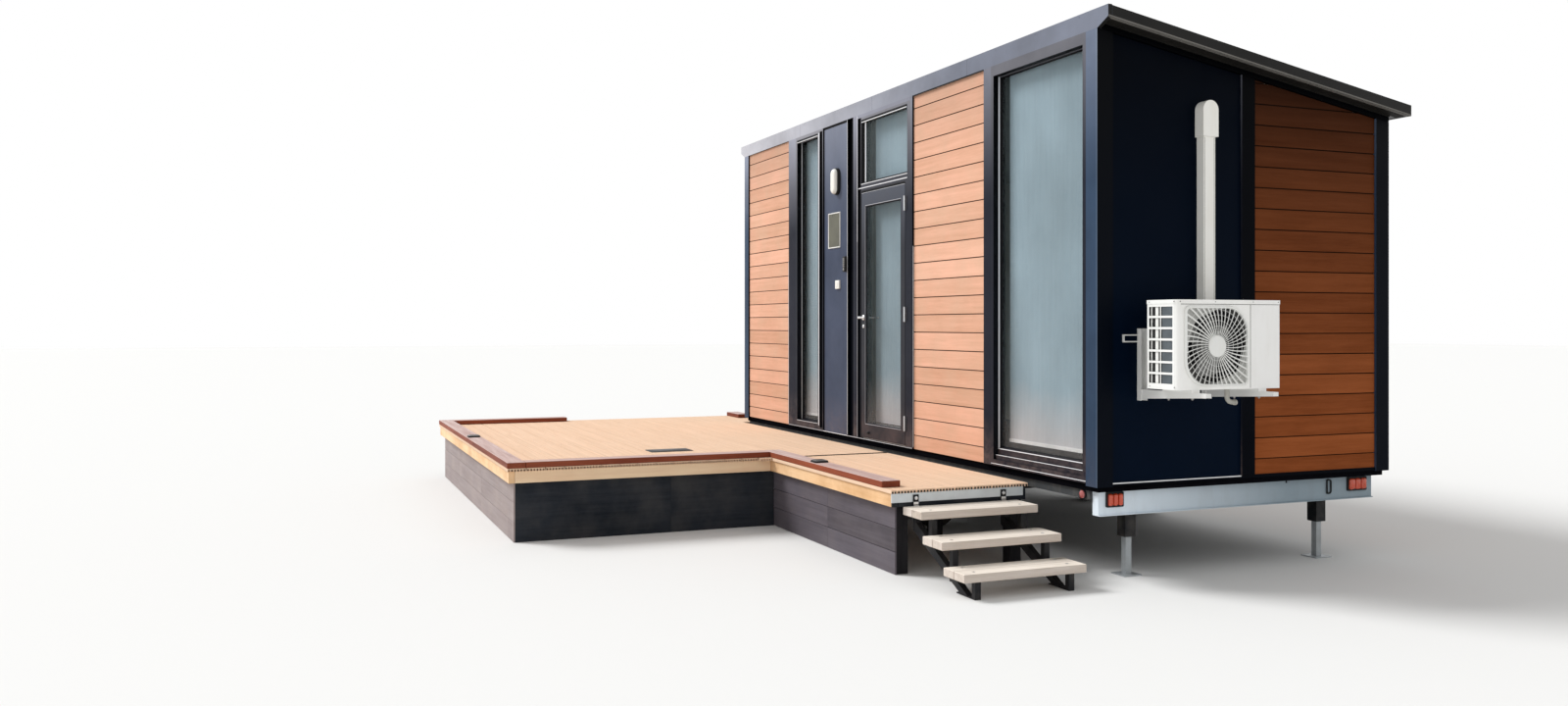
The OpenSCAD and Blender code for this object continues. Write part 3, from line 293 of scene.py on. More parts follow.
def timber(name, light, dark, along, rough=0.6, spread=0.3, grain=1.0, knots=0.0, bump=0.35, aged=None,
           topTone=None, eavesShade=None, shadedJoints=False, gloss=0.2):
    # long streaks and fine fibres that follow each board, with knots and greyed patches
    graph = newGraph(name)
    chance = graph.chance()
    spot = graph.shift(graph.here(), chance)
    run = graph.squeeze(spot, stretched(along, 0.05))
    streaks = graph.noise(run, 30 * grain, 5, 0.62)
    fibres = graph.noise(run, 210 * grain, 3, 0.7)
    patches = graph.noise(spot, 1.7, 3, 0.55)
    tone = streaks * 0.75 + fibres * 0.35 + patches * 0.5 - 0.3 + (chance - 0.5) * spread
    colour = graph.ramp(tone, 0.25, dark, 0.78, light)
    if topTone:
        # faces that lie open to the sky are bleached
        bleach = graph.between(graph.facing(2), 0.3, 0.8, 0, 1) * graph.between(streaks, 0.3, 0.65, 0.55, 1)
        colour = graph.mix(bleach, colour, topTone)
    if aged:
        wear = graph.between(graph.noise(spot, 2.6, 4, 0.6), 0.42, 0.72, 0, aged[1])
        colour = graph.mix(wear, colour, aged[0])
    if eavesShade:
        # painted shade: the boards darken towards the eaves
        low, high, depth = eavesShade
        shade = graph.between(graph.axis(2) + 0.12 * patches, low, high, 1, depth)
        colour = graph.mix(1.0, colour, shade, "MULTIPLY")
    if knots:
        eye = graph.squeeze(spot, stretched(along, 0.35))
        ring = graph.between(graph.cells(eye, 4.2), 0.03, 0.11, knots, 0)
        colour = graph.mix(ring, colour, scaled(dark, 0.35))
    if shadedJoints:
        # painted shade in the grooves between the courses of boards
        pitch, joint = cladding["pitch"] / 1000, cladding["topJoint"] / 1000
        below = graph.calc("FRACT", (graph.axis(2) * -1 + joint) / pitch)
        deep = below < cladding["groove"] / cladding["pitch"]
        colour = graph.mix(deep * 0.88, colour, dirtAndPaintedLight["groove"])
    height = fibres * 0.5 + streaks
    return graph.surface({
        "Base Color": colour,
        "Roughness": graph.between(streaks, 0.3, 0.7, rough + 0.08, rough - 0.08),
        "Normal": graph.bump(height, bump, 0.0015),
        "Specular IOR Level": gloss,
    })


def paint(name, colour, rough=0.4, grit=0.12, dust=0.12, metallic=0.0, tint=0.18, gloss=0.5):
    # coated sheet or section: faint orange peel, drifting tone, dust that gathers low down
    graph = newGraph(name)
    here = graph.here()
    drift = graph.noise(here, 1.3, 4, 0.6)
    peel = graph.noise(here, 420, 2, 0.5)
    base = graph.ramp(drift, 0.3, scaled(colour, 1 - tint), 0.7, scaled(colour, 1 + tint, 0.004))
    low = graph.between(graph.axis(2), 0.2, 1.2, dust, dust * 0.2)
    base = graph.mix(low * graph.between(graph.noise(here, 9, 5, 0.65), 0.35, 0.75), base, dirtAndPaintedLight["dust"])
    smear = graph.noise(here, 3.5, 5, 0.65)
    return graph.surface({
        "Base Color": base,
        "Metallic": metallic,
        "Roughness": graph.between(smear, 0.3, 0.7, rough - 0.07, rough + 0.1),
        "Normal": graph.bump(peel, grit, 0.0006),
        "Specular IOR Level": gloss,
    })


def coated(name, side, front, high, rough=0.42, gloss=0.05, grime=0.3, run=(-2000, 3000, 1.0, 0.5),
           sheenRise=(2.55, 3.5), bands=()):
    # dark coating with painted light: painted shade on the sides and in the recessed bands, a painted
    # reflection that pales the front wall, most of all high up, and dust low down
    graph = newGraph(name)
    here = graph.here()
    drift = graph.noise(here, 1.5, 4, 0.6)
    peel = graph.noise(here, 420, 2, 0.5)
    # faces that look ahead take the lit tones; the others take the side's tone, painted shade
    ahead = graph.facing(1) < -0.5
    recessed = graph.axis(1) > place(0, -1245, 0).y
    # painted shade: recessed faces inside these bands take the side's tone
    for start, stop in bands:
        inside = (graph.axis(0) > place(start, 0, 0).x) * (graph.axis(0) < place(stop, 0, 0).x)
        ahead = ahead * (1 - recessed * inside)
    # painted reflection: paler high up, and more so towards the left
    up = graph.between(graph.axis(2) + (drift - 0.5) * 0.25, sheenRise[0], sheenRise[1], 0, 1) ** 1.4
    left = graph.between(graph.axis(0), place(run[0], 0, 0).x, place(run[1], 0, 0).x, run[2], run[3])
    tone = graph.mix(up * left, front, high)
    # painted shade: the sides darken towards the eaves
    eaves = graph.between(graph.axis(2) + (drift - 0.5) * 0.3, 1.4, 3.3, 1.2, 0.2)
    tone = graph.mix(ahead, graph.mix(1.0, side, eaves, "MULTIPLY"), tone)
    tone = graph.mix(graph.between(drift, 0.3, 0.7, 0, 0.35), tone, scaled(side, 0.7))
    splash = graph.between(graph.axis(2), 0.65, 1.0, grime, 0)
    splash = splash * graph.between(graph.noise(here, 12, 5, 0.65), 0.3, 0.7)
    smear = graph.noise(here, 3.5, 5, 0.65)
    return graph.surface({
        "Base Color": graph.mix(splash * ahead, tone, dirtAndPaintedLight["splash"]),
        "Roughness": graph.between(smear, 0.3, 0.7, rough - 0.07, rough + 0.1),
        "Normal": graph.bump(peel, 0.1, 0.0006),
        "Specular IOR Level": gloss,
    })


def zinc(name, colour, rough, grime, contrast, metal, drift=None):
    # hot-dip galvanising: spangle cells, run marks and dull patches
    graph = newGraph(name)
    here = graph.here()
    spangle = graph.cells(here, 46.0, "Color")
    grey = graph.node("SeparateColor", inputs={0: spangle})
    cloud = graph.noise(here, 4.5, 5, 0.6)
    tone = grey * contrast + cloud * 0.75 + (0.35 - contrast) * 0.5
    base = graph.ramp(tone, 0.25, scaled(colour, 1 - 1.1 * contrast), 0.75, colour)
    # painted light and shade: the tone runs from bright to dark along y
    if drift:
        start, stop, far = drift
        along = graph.between(graph.axis(1), place(0, start, 0).y, place(0, stop, 0).y, 0, 1)
        base = graph.mix(along, base, far)
    stain = graph.between(graph.noise(graph.squeeze(here, (1, 1, 0.25)), 11, 4, 0.6), 0.5, 0.75, 0, grime)
    return graph.surface({
        "Base Color": graph.mix(stain, base, dirtAndPaintedLight["stain"]),
        "Metallic": metal,
        "Roughness": rough + 0.16 * grey,
        "Normal": graph.bump(cloud + grey * 0.2, 0.12, 0.001),
        "Specular IOR Level": 0.3,
    })


def brushed(name, colour, rough, along=(1, 1, 0.04)):
    # bare metal with fine lines from its finishing
    graph = newGraph(name)
    lines = graph.noise(graph.squeeze(graph.here(), along), 900, 2, 0.6)
    smear = graph.noise(graph.here(), 14, 4, 0.6)
    return graph.surface({
        "Base Color": graph.ramp(smear * 0.5 + lines * 0.5, 0.3, scaled(colour, 0.72), 0.65, colour),
        "Metallic": 0.9,
        "Roughness": graph.between(lines + smear, 0.7, 1.3, rough - 0.08, rough + 0.14),
        "Normal": graph.bump(lines, 0.15, 0.0003),
    })


def plastic(name, colour, rough=0.45, aged=(0.62, 0.57, 0.44), amount=0.25, grit=0.15, gloss=0.4):
    # moulded plastic or white coating: fine texture, yellowing and rain marks
    graph = newGraph(name)
    here = graph.here()
    mould = graph.noise(here, 700, 2, 0.5)
    rain = graph.noise(graph.squeeze(here, (1, 1, 0.12)), 22, 5, 0.6)
    cloud = graph.noise(here, 5, 4, 0.55)
    yellowed = graph.between(rain * 0.6 + cloud * 0.5, 0.48, 0.75, 0, amount)
    return graph.surface({
        "Base Color": graph.mix(yellowed, colour, aged),
        "Roughness": graph.between(cloud, 0.3, 0.7, rough - 0.06, rough + 0.1),
        "Normal": graph.bump(mould, grit, 0.0004),
        "Specular IOR Level": gloss,
    })


def rubber(name):
    # scuffed tyre rubber with dried mud
    graph = newGraph(name)
    here = graph.here()
    scuff = graph.noise(here, 26, 5, 0.65)
    grain = graph.noise(here, 500, 2, 0.5)
    base = graph.ramp(scuff, 0.35, (0.012, 0.012, 0.013), 0.7, (0.05, 0.048, 0.045))
    mud = graph.between(graph.noise(here, 7, 4, 0.6), 0.45, 0.75, 0, 0.45)
    return graph.surface({
        "Base Color": graph.mix(mud, base, dirtAndPaintedLight["mud"]),
        "Roughness": graph.between(scuff, 0.3, 0.7, 0.68, 0.88),
        "Normal": graph.bump(grain + scuff, 0.35, 0.0008),
        "Specular IOR Level": 0.3,
    })


def glazing(name, tint, cover, gloss, rough=0.03):
    # double glazing: tinted, with pale patches that are partly dust and partly painted reflection, and paler
    # and pinker along its foot as a painted reflection
    graph = newGraph(name)
    here = graph.here()
    film = graph.noise(graph.squeeze(here, (1, 1, 0.5)), 2.2, 5, 0.6)
    drips = graph.noise(graph.squeeze(here, (1, 1, 0.06)), 30, 4, 0.6)
    haze = graph.between(film * 0.7 + drips * 0.4, 0.4, 0.75, 0, 1)
    # painted reflection: a pale pink haze along the foot of the glass
    foot = graph.between(graph.axis(2) + (film - 0.5) * 0.3, 0.75, 1.15, 0.03, 0)
    base = graph.mix(haze, tint, scaled(tint, 1.3, 0.03))
    return graph.surface({
        "Base Color": graph.mix(foot * 12, base, dirtAndPaintedLight["glassFoot"]),
        "Roughness": rough + 0.1 * haze,
        "Alpha": graph.between(haze, 0, 1, cover, cover + 0.12) + foot,
        "Normal": graph.bump(film, 0.02, 0.002),
        "IOR": 1.5,
        "Specular IOR Level": gloss,
    })


def cloth(name, light, dark):
    # blind fabric: a close plain weave with slubs, and soft vertical shading: it pales towards its foot, a
    # painted reflection
    graph = newGraph(name)
    here = graph.here()
    weave = {"Vector": here, "Scale": 260.0, "Distortion": 0.4}
    across = graph.node("TexWave", {"bands_direction": "X"}, weave, "Fac")
    upward = graph.node("TexWave", {"bands_direction": "Z"}, weave, "Fac")
    slub = graph.noise(graph.squeeze(here, (1, 1, 0.03)), 60, 3, 0.6)
    cloud = graph.noise(here, 1.6, 4, 0.6)
    base = graph.ramp(slub * 0.35 + cloud * 0.7, 0.3, dark, 0.72, light)
    # painted reflection: the blind pales towards its foot
    low = graph.between(graph.axis(2) + cloud * 0.4, 1.0, 1.45, 0.9, 0)
    return graph.surface({
        "Base Color": graph.mix(low, base, dirtAndPaintedLight["blindFoot"]),
        "Roughness": graph.between(slub, 0.3, 0.7, 0.78, 0.9),
        "Normal": graph.bump(across * 0.5 + upward * 0.5 + slub, 0.2, 0.0005),
        "Specular IOR Level": 0.2,
    })


def lens(name, colour, glow):
    # ribbed lamp lens: clear coat over deep colour
    graph = newGraph(name)
    here = graph.here()
    ribs = graph.node("TexWave", {"bands_direction": "Y"}, {"Vector": here, "Scale": 45.0}, "Fac")
    cloud = graph.noise(here, 30, 3, 0.5)
    base = graph.mix(ribs * 0.6 + cloud * 0.3, colour, glow)
    return graph.surface({
        "Base Color": base,
        "Roughness": graph.between(cloud, 0.3, 0.7, 0.12, 0.28),
        "Normal": graph.bump(ribs, 0.3, 0.002),
        "Coat Weight": 0.5,
    })


finishes = {
    "boardsFront": timber("boardsFront", (0.84, 0.475, 0.335), (0.62, 0.34, 0.22), "x", 0.66, 0.34, 0.8,
                          bump=0.25, aged=((0.60, 0.43, 0.30), 0.35), eavesShade=(3.0, 3.7, 0.72),
                          shadedJoints=True, gloss=0.12),
    "boardsBack": timber("boardsBack", (0.62, 0.32, 0.19), (0.42, 0.20, 0.105), "x", 0.66, 0.36, 0.8,
                         bump=0.25, shadedJoints=True),
    # the end walls' boards: a darker copy of the front's boards as painted shade, darkest under the eaves
    "boardsEnd": timber("boardsEnd", (0.36, 0.100, 0.029), (0.22, 0.056, 0.014), "y", 0.66, 0.3, 0.8,
                        bump=0.25, eavesShade=(1.0, 3.35, 0.08), shadedJoints=True, gloss=0.05),
    "deckBoards": timber("deckBoards", (0.84, 0.60, 0.43), (0.66, 0.45, 0.30), "x", 0.7, 0.22, 0.9,
                         aged=((0.70, 0.55, 0.42), 0.3)),
    "kerbLong": timber("kerbLong", (0.32, 0.078, 0.034), (0.15, 0.031, 0.013), "x", 0.6, 0.2, 0.9,
                       topTone=(0.62, 0.48, 0.45)),
    "kerbCross": timber("kerbCross", (0.32, 0.078, 0.034), (0.15, 0.031, 0.013), "y", 0.6, 0.2, 0.9,
                        topTone=(0.62, 0.46, 0.42)),
    "pineLong": timber("pineLong", (0.98, 0.69, 0.43), (0.80, 0.49, 0.25), "x", 0.66, 0.2, 0.8, knots=0.8,
                       aged=((0.52, 0.28, 0.12), 0.6)),
    "pineCross": timber("pineCross", (0.95, 0.74, 0.50), (0.80, 0.55, 0.35), "y", 0.66, 0.2, 0.8, knots=0.8),
    # the deck's posts: near-black as painted shade under the deck
    "postsInShade": timber("postsInShade", (0.036, 0.034, 0.036), (0.014, 0.013, 0.015), "z", 0.7, 0.2, 0.8,
                        gloss=0.05),
    "treadBoards": timber("treadBoards", (0.74, 0.66, 0.60), (0.50, 0.42, 0.345), "y", 0.74, 0.25, 1.0,
                          knots=0.8, bump=0.6, aged=((0.66, 0.57, 0.50), 0.5), topTone=(0.90, 0.82, 0.72)),
    # the skirts: one kind of board in a tone for each run, partly painted light and shade
    "skirtFront": timber("skirtFront", (0.35, 0.295, 0.29), (0.27, 0.22, 0.215), "x", 0.66, 0.12, 0.9,
                         bump=0.2, aged=((0.43, 0.35, 0.32), 0.4)),
    "skirtWalk": timber("skirtWalk", (0.122, 0.108, 0.128), (0.072, 0.062, 0.072), "x", 0.62, 0.3, 0.9,
                        bump=0.3, aged=((0.16, 0.135, 0.14), 0.4)),
    "skirtDark": timber("skirtDark", (0.026, 0.030, 0.038), (0.008, 0.011, 0.016), "y", 0.62, 0.2, 0.9,
                        bump=0.3, aged=((0.070, 0.068, 0.066), 0.5), gloss=0.1),
    "liningBoards": timber("liningBoards", (0.60, 0.565, 0.50), (0.50, 0.46, 0.40), "z", 0.6, 0.1, 0.7),
    # the house's floor: near-black as painted shade, for the dark inside and the shade line under the walls
    "floorInShade": timber("floorInShade", (0.006, 0.006, 0.008), (0.002, 0.002, 0.003), "x", 0.6, 0.3, 0.9,
                          gloss=0.0),
    "darkSheet": coated("darkSheet", (0.0006, 0.0040, 0.0125), (0.078, 0.096, 0.148), (0.265, 0.29, 0.365),
                        0.46, 0.028),
    "darkTrim": coated("darkTrim", (0.0004, 0.0010, 0.0030), (0.022, 0.024, 0.036), (0.37, 0.38, 0.45),
                       gloss=0.03, grime=0.4, bands=((-504, -377), (-285, -269))),
    "cornerTrim": coated("cornerTrim", (0.0003, 0.0016, 0.0050), (0.040, 0.070, 0.124), (0.30, 0.335, 0.43),
                         grime=0.12),
    "cornerHighlight": coated("cornerHighlight", (0.0010, 0.0030, 0.0080), (0.090, 0.130, 0.195), (0.40, 0.44, 0.53),
                         grime=0.12),
    "roofEdge": coated("roofEdge", (0.050, 0.048, 0.045), (0.20, 0.22, 0.28), (0.60, 0.60, 0.65), 0.46, 0.12,
                       0.0, (-3300, 1500, 1.0, 0.0), (3.3, 3.5)),
    "vergeGrey": paint("vergeGrey", (0.150, 0.142, 0.130), 0.5, 0.1, 0.1, gloss=0.1),
    "roofSheet": paint("roofSheet", (0.080, 0.084, 0.095), 0.38, 0.1, 0.3, 0.15, gloss=0.3),
    # near-black, painted shade under the overhang
    "soffitShade": paint("soffitShade", (0.010, 0.009, 0.008), 0.55, 0.2, 0.1, gloss=0.05),
    "frameMetal": coated("frameMetal", (0.0060, 0.0065, 0.0095), (0.010, 0.012, 0.022), (0.30, 0.30, 0.335),
                         0.38, 0.08, 0.35, bands=((-272, -205), (-1124, -1060))),
    "gasket": plastic("gasket", (0.006, 0.006, 0.007), 0.6, (0.02, 0.02, 0.02), 0.4, gloss=0.15),
    "brightEdge": brushed("brightEdge", (0.72, 0.73, 0.75), 0.36),
    "dimEdgeHighlight": paint("dimEdgeHighlight", (0.46, 0.47, 0.50), 0.45, 0.1, 0.1, gloss=0.2),
    "brightSteel": brushed("brightSteel", (0.78, 0.78, 0.78), 0.28, (1, 0.04, 1)),
    "screwSteel": brushed("screwSteel", (0.42, 0.41, 0.40), 0.4),
    "blindCloth": cloth("blindCloth", (0.395, 0.515, 0.585), (0.33, 0.435, 0.50)),
    "whitePaint": paint("whitePaint", (0.82, 0.82, 0.80), 0.38, 0.12, 0.12, tint=0.04, gloss=0.4),
    "railWhite": paint("railWhite", (0.97, 0.97, 0.96), 0.4, 0.1, 0.05, tint=0.02, gloss=0.4),
    "whiteMetal": plastic("whiteMetal", (0.85, 0.855, 0.83), 0.42, (0.70, 0.68, 0.60), 0.25),
    "whitePlastic": plastic("whitePlastic", (0.90, 0.89, 0.845), 0.46, (0.76, 0.72, 0.62), 0.3),
    "drainPlastic": plastic("drainPlastic", (0.44, 0.43, 0.39), 0.5, (0.28, 0.26, 0.22), 0.4),
    "lampWhite": plastic("lampWhite", (0.88, 0.87, 0.82), 0.22, (0.70, 0.66, 0.55), 0.3, 0.05),
    "lampBlack": plastic("lampBlack", (0.008, 0.008, 0.009), 0.5, (0.03, 0.03, 0.03), 0.4, gloss=0.2),
    "darkPlastic": plastic("darkPlastic", (0.012, 0.012, 0.014), 0.45, (0.05, 0.045, 0.04), 0.4, gloss=0.25),
    "fanGrey": plastic("fanGrey", (0.34, 0.34, 0.33), 0.45, (0.26, 0.25, 0.23), 0.3),
    "guardShade": plastic("guardShade", (0.040, 0.040, 0.038), 0.5, (0.06, 0.055, 0.05), 0.4, gloss=0.2),
    "guardPlate": plastic("guardPlate", (0.47, 0.47, 0.45), 0.5, (0.36, 0.35, 0.32), 0.4, gloss=0.2),
    "paleLine": paint("paleLine", (0.84, 0.85, 0.88), 0.35, 0.1, 0.1, tint=0.03, gloss=0.4),
    "finMetal": brushed("finMetal", (0.30, 0.34, 0.37), 0.5, (1, 1, 0.1)),
    "plateDark": paint("plateDark", (0.085, 0.085, 0.060), 0.3, 0.04, 0.3, 0.0, 0.5, gloss=0.2),
    # painted light: the rear beam is bright at its near end, darkening along y as painted shade
    "beamZinc": zinc("beamZinc", (0.79, 0.88, 0.96), 0.5, 0.12, 0.06, 0.1,
                     (-1150, 400, (0.285, 0.355, 0.405))),
    # the chassis's zinc: near-black as painted shade under the house
    "galvanisedInShade": zinc("galvanisedInShade", (0.052, 0.056, 0.060), 0.55, 0.3, 0.2, 0.2),
    "blackSteel": paint("blackSteel", (0.014, 0.014, 0.016), 0.46, 0.25, 0.3, 0.1, gloss=0.25),
    "rubber": rubber("rubber"),
    "wheelWhite": paint("wheelWhite", (0.78, 0.78, 0.76), 0.28, 0.08, 0.5, tint=0.06),
    "lensRed": lens("lensRed", (0.50, 0.030, 0.010), (0.70, 0.11, 0.035)),
    "lensShade": lens("lensShade", (0.34, 0.060, 0.055), (0.42, 0.13, 0.12)),
    "glass": glazing("glass", (0.10, 0.13, 0.135), 0.09, 0.11),
    "glassDoor": glazing("glassDoor", (0.07, 0.095, 0.10), 0.12, 0.08),
}
print("finishes made:", len(finishes))

# what each solid that stays is finished with
slotFinish = {
    "floor_board": "floorInShade",
    "wall_lining": "liningBoards",
    "roof_sheet": "roofSheet",
    "dark_trim": "darkTrim",
    "dark_panel": "darkSheet",
    "window_frame": "frameMetal",
    "window_glass": "glass",
    "white_trim": "whitePaint",
    "bright_metal": "brightSteel",
    "lamp_plastic": "lampWhite",
    "dark_plate": "plateDark",
    "dark_plastic": "darkPlastic",
    "white_metal": "whiteMetal",
    "fan_plastic": "fanGrey",
    "white_plastic": "whitePlastic",
    "galvanised": "galvanisedInShade",
    "lamp_red": "lensRed",
    "black_steel": "blackSteel",
    "tyre": "rubber",
    "wheel_white": "wheelWhite",
    "pine": "pineLong",
    "decking_timber": "deckBoards",
    "kerb_timber": "kerbLong",
    "skirt_board": "skirtFront",
    "tread_timber": "treadBoards",
    "cladding_timber": "boardsFront",
    "blind_cloth": "blindCloth",
}
nodeFinish = {
    "rear_beam": "beamZinc",
    "roof_flashings": "roofEdge",
    "corner_trims": "cornerTrim",
    "door_glass": "glassDoor",
    "blind_rails": "railWhite",
}


def dress(node, look):
    for holder in nodes[node].material_slots:
        holder.material = look


for node in nodes:
    dress(node, finishes[nodeFinish.get(node, slotFinish[slotOf[node]])])


def twoTone(name, axis, level, lower, upper, rough, metal, worn=0.35):
    # one solid of two finishes that meet at a level, in metres of the shared frame
    graph = newGraph(name)
    here = graph.here()
    cloud = graph.noise(here, 6, 5, 0.6)
    peel = graph.noise(here, 300, 2, 0.5)
    above = graph.axis(axis) > level
    base = graph.mix(graph.between(cloud, 0.45, 0.75, 0, worn), graph.mix(above, lower, upper), dirtAndPaintedLight["scuff"])
    return graph.surface({
        "Base Color": base,
        "Metallic": graph.between(above, 0, 1, metal[0], metal[1]),
        "Roughness": graph.between(above, 0, 1, rough[0], rough[1]) + cloud * 0.12,
        "Normal": graph.bump(peel + cloud, 0.15, 0.0006),
        "Specular IOR Level": 0.2,
    })


def leafPaint():
    # the door leaf's dark coating, paler high up as a painted reflection, with bright hinge knuckles that
    # stand out from it
    graph = newGraph("leafPaint")
    here = graph.here()
    cloud = graph.noise(here, 5, 5, 0.6)
    peel = graph.noise(here, 420, 2, 0.5)
    # painted reflection: the leaf pales towards its head
    up = graph.between(graph.axis(2) + (cloud - 0.5) * 0.2, 2.3, 3.1, 0, 0.55)
    tone = graph.mix(up, (0.010, 0.011, 0.018), (0.15, 0.17, 0.22))
    splash = graph.between(graph.axis(2), 0.68, 1.0, 0.3, 0) * graph.between(cloud, 0.35, 0.65)
    tone = graph.mix(splash, tone, dirtAndPaintedLight["leafSplash"])
    knuckle = graph.axis(1) < place(0, house["knuckleY"], 0).y
    return graph.surface({
        "Base Color": graph.mix(knuckle, tone, dirtAndPaintedLight["knuckle"]),
        "Metallic": knuckle * 0.6,
        "Roughness": graph.between(cloud, 0.3, 0.7, 0.33, 0.48),
        "Normal": graph.bump(peel, 0.1, 0.0006),
        "Specular IOR Level": 0.16,
    })


dress("jack_legs", twoTone("jackPaint", 2, 0.256, (0.42, 0.45, 0.47), (0.010, 0.011, 0.013), (0.4, 0.45),
                           (0.3, 0.1)))
dress("stair_steel", twoTone("stringerPaint", 0, place(2437.3, 0, 0).x, (0.66, 0.70, 0.72),
                             (0.012, 0.012, 0.014), (0.42, 0.45), (0.3, 0.1), 0.2))
dress("door_hinges", twoTone("hingePaint", 1, place(0, house["knuckleY"], 0).y, dirtAndPaintedLight["knuckle"],
                             (0.016, 0.016, 0.022), (0.3, 0.4), (0.6, 0.1), 0.1))
dress("door_leaf", leafPaint())
print("solids dressed")


def turned(along, a, b, far):
    # a point of a section, and its distance along an axis, as x, y, z
    return {"x": (far, a, b), "y": (a, far, b), "z": (a, b, far)}[along]


# mesh kit: gathers solids in house millimetres and makes one piece of them
class Shape:
    sharpest = math.radians(38)

    def __init__(self):
        self.mesh = bmesh.new()

    def ring(self, points):
        return [self.mesh.verts.new(place(*point)) for point in points]

    def skin(self, rings, loop=False):
        turns = len(rings[0])
        following = rings[1:] + (rings[:1] if loop else [])
        for lower, upper in zip(rings, following):
            for i in range(turns):
                j = (i + 1) % turns
                self.mesh.faces.new((lower[i], lower[j], upper[j], upper[i]))
        if not loop:
            self.mesh.faces.new(rings[0][::-1])
            self.mesh.faces.new(rings[-1])

    def prism(self, along, outline, start, stop):
        self.loft(along, [(outline, start), (outline, stop)])

    def loft(self, along, layers, loop=False):
        # layers are (outline, distance along the axis)
        rings = [self.ring([turned(along, a, b, far) for a, b in outline]) for outline, far in layers]
        self.skin(rings, loop)

    def box(self, low, high):
        (x0, y0, z0), (x1, y1, z1) = low, high
        self.prism("z", rectangle(x0, x1, y0, y1), z0, z1)

    def sloped(self, section, y0, y1):
        # bar along the roof's slope: its section is (x, height above the roof's underside)
        self.skin([self.ring([(x, y, under(y) + rise) for x, rise in section]) for y in (y0, y1)])

    def stack(self, along, centre, steps, layers, loop=False):
        # rounded rectangles one after another: (width, height, radius, distance along the axis)
        self.loft(along, [(roundedCorners(wide, tall, [radius] * 4, steps, centre), far)
                          for wide, tall, radius, far in layers], loop)

    def lathe(self, along, centre, profile, steps=32, loop=False):
        # profile is (radius, distance along the axis)
        rings = []
        for radius, far in profile:
            points = []
            for i in range(steps):
                a, b = radius * math.cos(math.tau * i / steps), radius * math.sin(math.tau * i / steps)
                points.append([c + o for c, o in zip(centre, turned(along, a, b, far))])
            rings.append(self.ring(points))
        self.skin(rings, loop)

    def tube(self, points, radius, sides=8, loop=False):
        path = [Vector(point) for point in points]
        count = len(path)
        rings = []
        side = None
        for i, spot in enumerate(path):
            before = path[i - 1] if i or loop else spot
            after = path[(i + 1) % count] if i < count - 1 or loop else spot
            forward = (after - before).normalized()
            if side is None:
                side = forward.orthogonal()
            side = (side - forward * side.dot(forward)).normalized()
            other = forward.cross(side)
            width = radius[i] if isinstance(radius, (list, tuple)) else radius
            angles = [math.tau * k / sides for k in range(sides)]
            rings.append(self.ring([spot + width * (side * math.cos(angle) + other * math.sin(angle))
                                    for angle in angles]))
        self.skin(rings, loop)

    def slice(self, point, normal):
        # cuts away what lies beyond a plane
        cut = bmesh.ops.bisect_plane(
            self.mesh, geom=self.mesh.verts[:] + self.mesh.edges[:] + self.mesh.faces[:],
            plane_co=place(*point), plane_no=normal, clear_outer=True)
        edges = [item for item in cut["geom_cut"] if isinstance(item, bmesh.types.BMEdge)]
        bmesh.ops.holes_fill(self.mesh, edges=edges, sides=0)

    def done(self, name, finish, slot, body="house", stands=(), bevel=0.0, steps=2, smooth=True):
        bmesh.ops.recalc_face_normals(self.mesh, faces=self.mesh.faces[:])
        for face in self.mesh.faces:
            face.smooth = smooth
        for edge in self.mesh.edges:
            edge.smooth = edge.calc_face_angle(0) < self.sharpest
        piece = addObject(name, addMesh(name, self.mesh, finishes[finish]))
        if bevel:
            rounding = piece.modifiers.new("rounding", "BEVEL")
            rounding.width = bevel / 1000
            rounding.segments = steps
            rounding.limit_method = "ANGLE"
            rounding.angle_limit = self.sharpest
            rounding.harden_normals = True
        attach(piece, body)
        if stands:
            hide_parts(*stands)


def boxPiece(name, finish, slot, corners, **more):
    # one piece made of plain boxes, each (low corner, high corner)
    shape = Shape()
    for low, high in corners:
        shape.box(low, high)
    shape.done(name, finish, slot, **more)


def roundedCorners(width, height, radii, steps, middleAt):
    # outline with its own rounding at each corner, from lower left anticlockwise
    points = []
    for corner in range(4):
        radius = radii[corner]
        sideA = -1 if corner in (0, 3) else 1
        sideB = -1 if corner < 2 else 1
        for i in range(steps + 1):
            angle = math.radians(180 + 90 * corner + 90 * i / steps)
            points.append((middleAt[0] + sideA * (width / 2 - radius) + radius * math.cos(angle),
                           middleAt[1] + sideB * (height / 2 - radius) + radius * math.sin(angle)))
    return points


def rectangle(a0, a1, b0, b1):
    return [(a0, b0), (a1, b0), (a1, b1), (a0, b1)]


def outward(profile, out):
    # a turned profile with its distances towards one side
    return [(radius, out * far) for radius, far in profile]


def screwHead(shape, along, centre, out, radius):
    # low domed head that stands out from a face
    profile = ((radius, 0), (radius, 0.5), (radius * 0.7, 1), (radius * 0.2, 1))
    shape.lathe(along, centre, outward(profile, out), 10)


# cladding boards with a shadow groove between courses
def courses(low, high):
    # board edges between two heights, in line round the whole house
    joints = [cladding["topJoint"] - k * cladding["pitch"] for k in range(-2, 24)]
    least = cladding["leastBoard"]
    inner = sorted(z for z in joints if low + least < z < high - least)
    edges = [low] + inner + [high]
    return list(zip(edges, edges[1:]))


def boardOutline(wall, out, z0, z1, last):
    # section of one board: flat back, grooved top edge
    face = wall + out * cladding["thick"]
    if last:
        return rectangle(wall, face, z0, z1)
    lip = z1 - cladding["groove"]
    floor = face - out * cladding["grooveDepth"]
    return [(wall, z0), (face, z0), (face, lip), (floor, lip), (floor, z1), (wall, z1)]


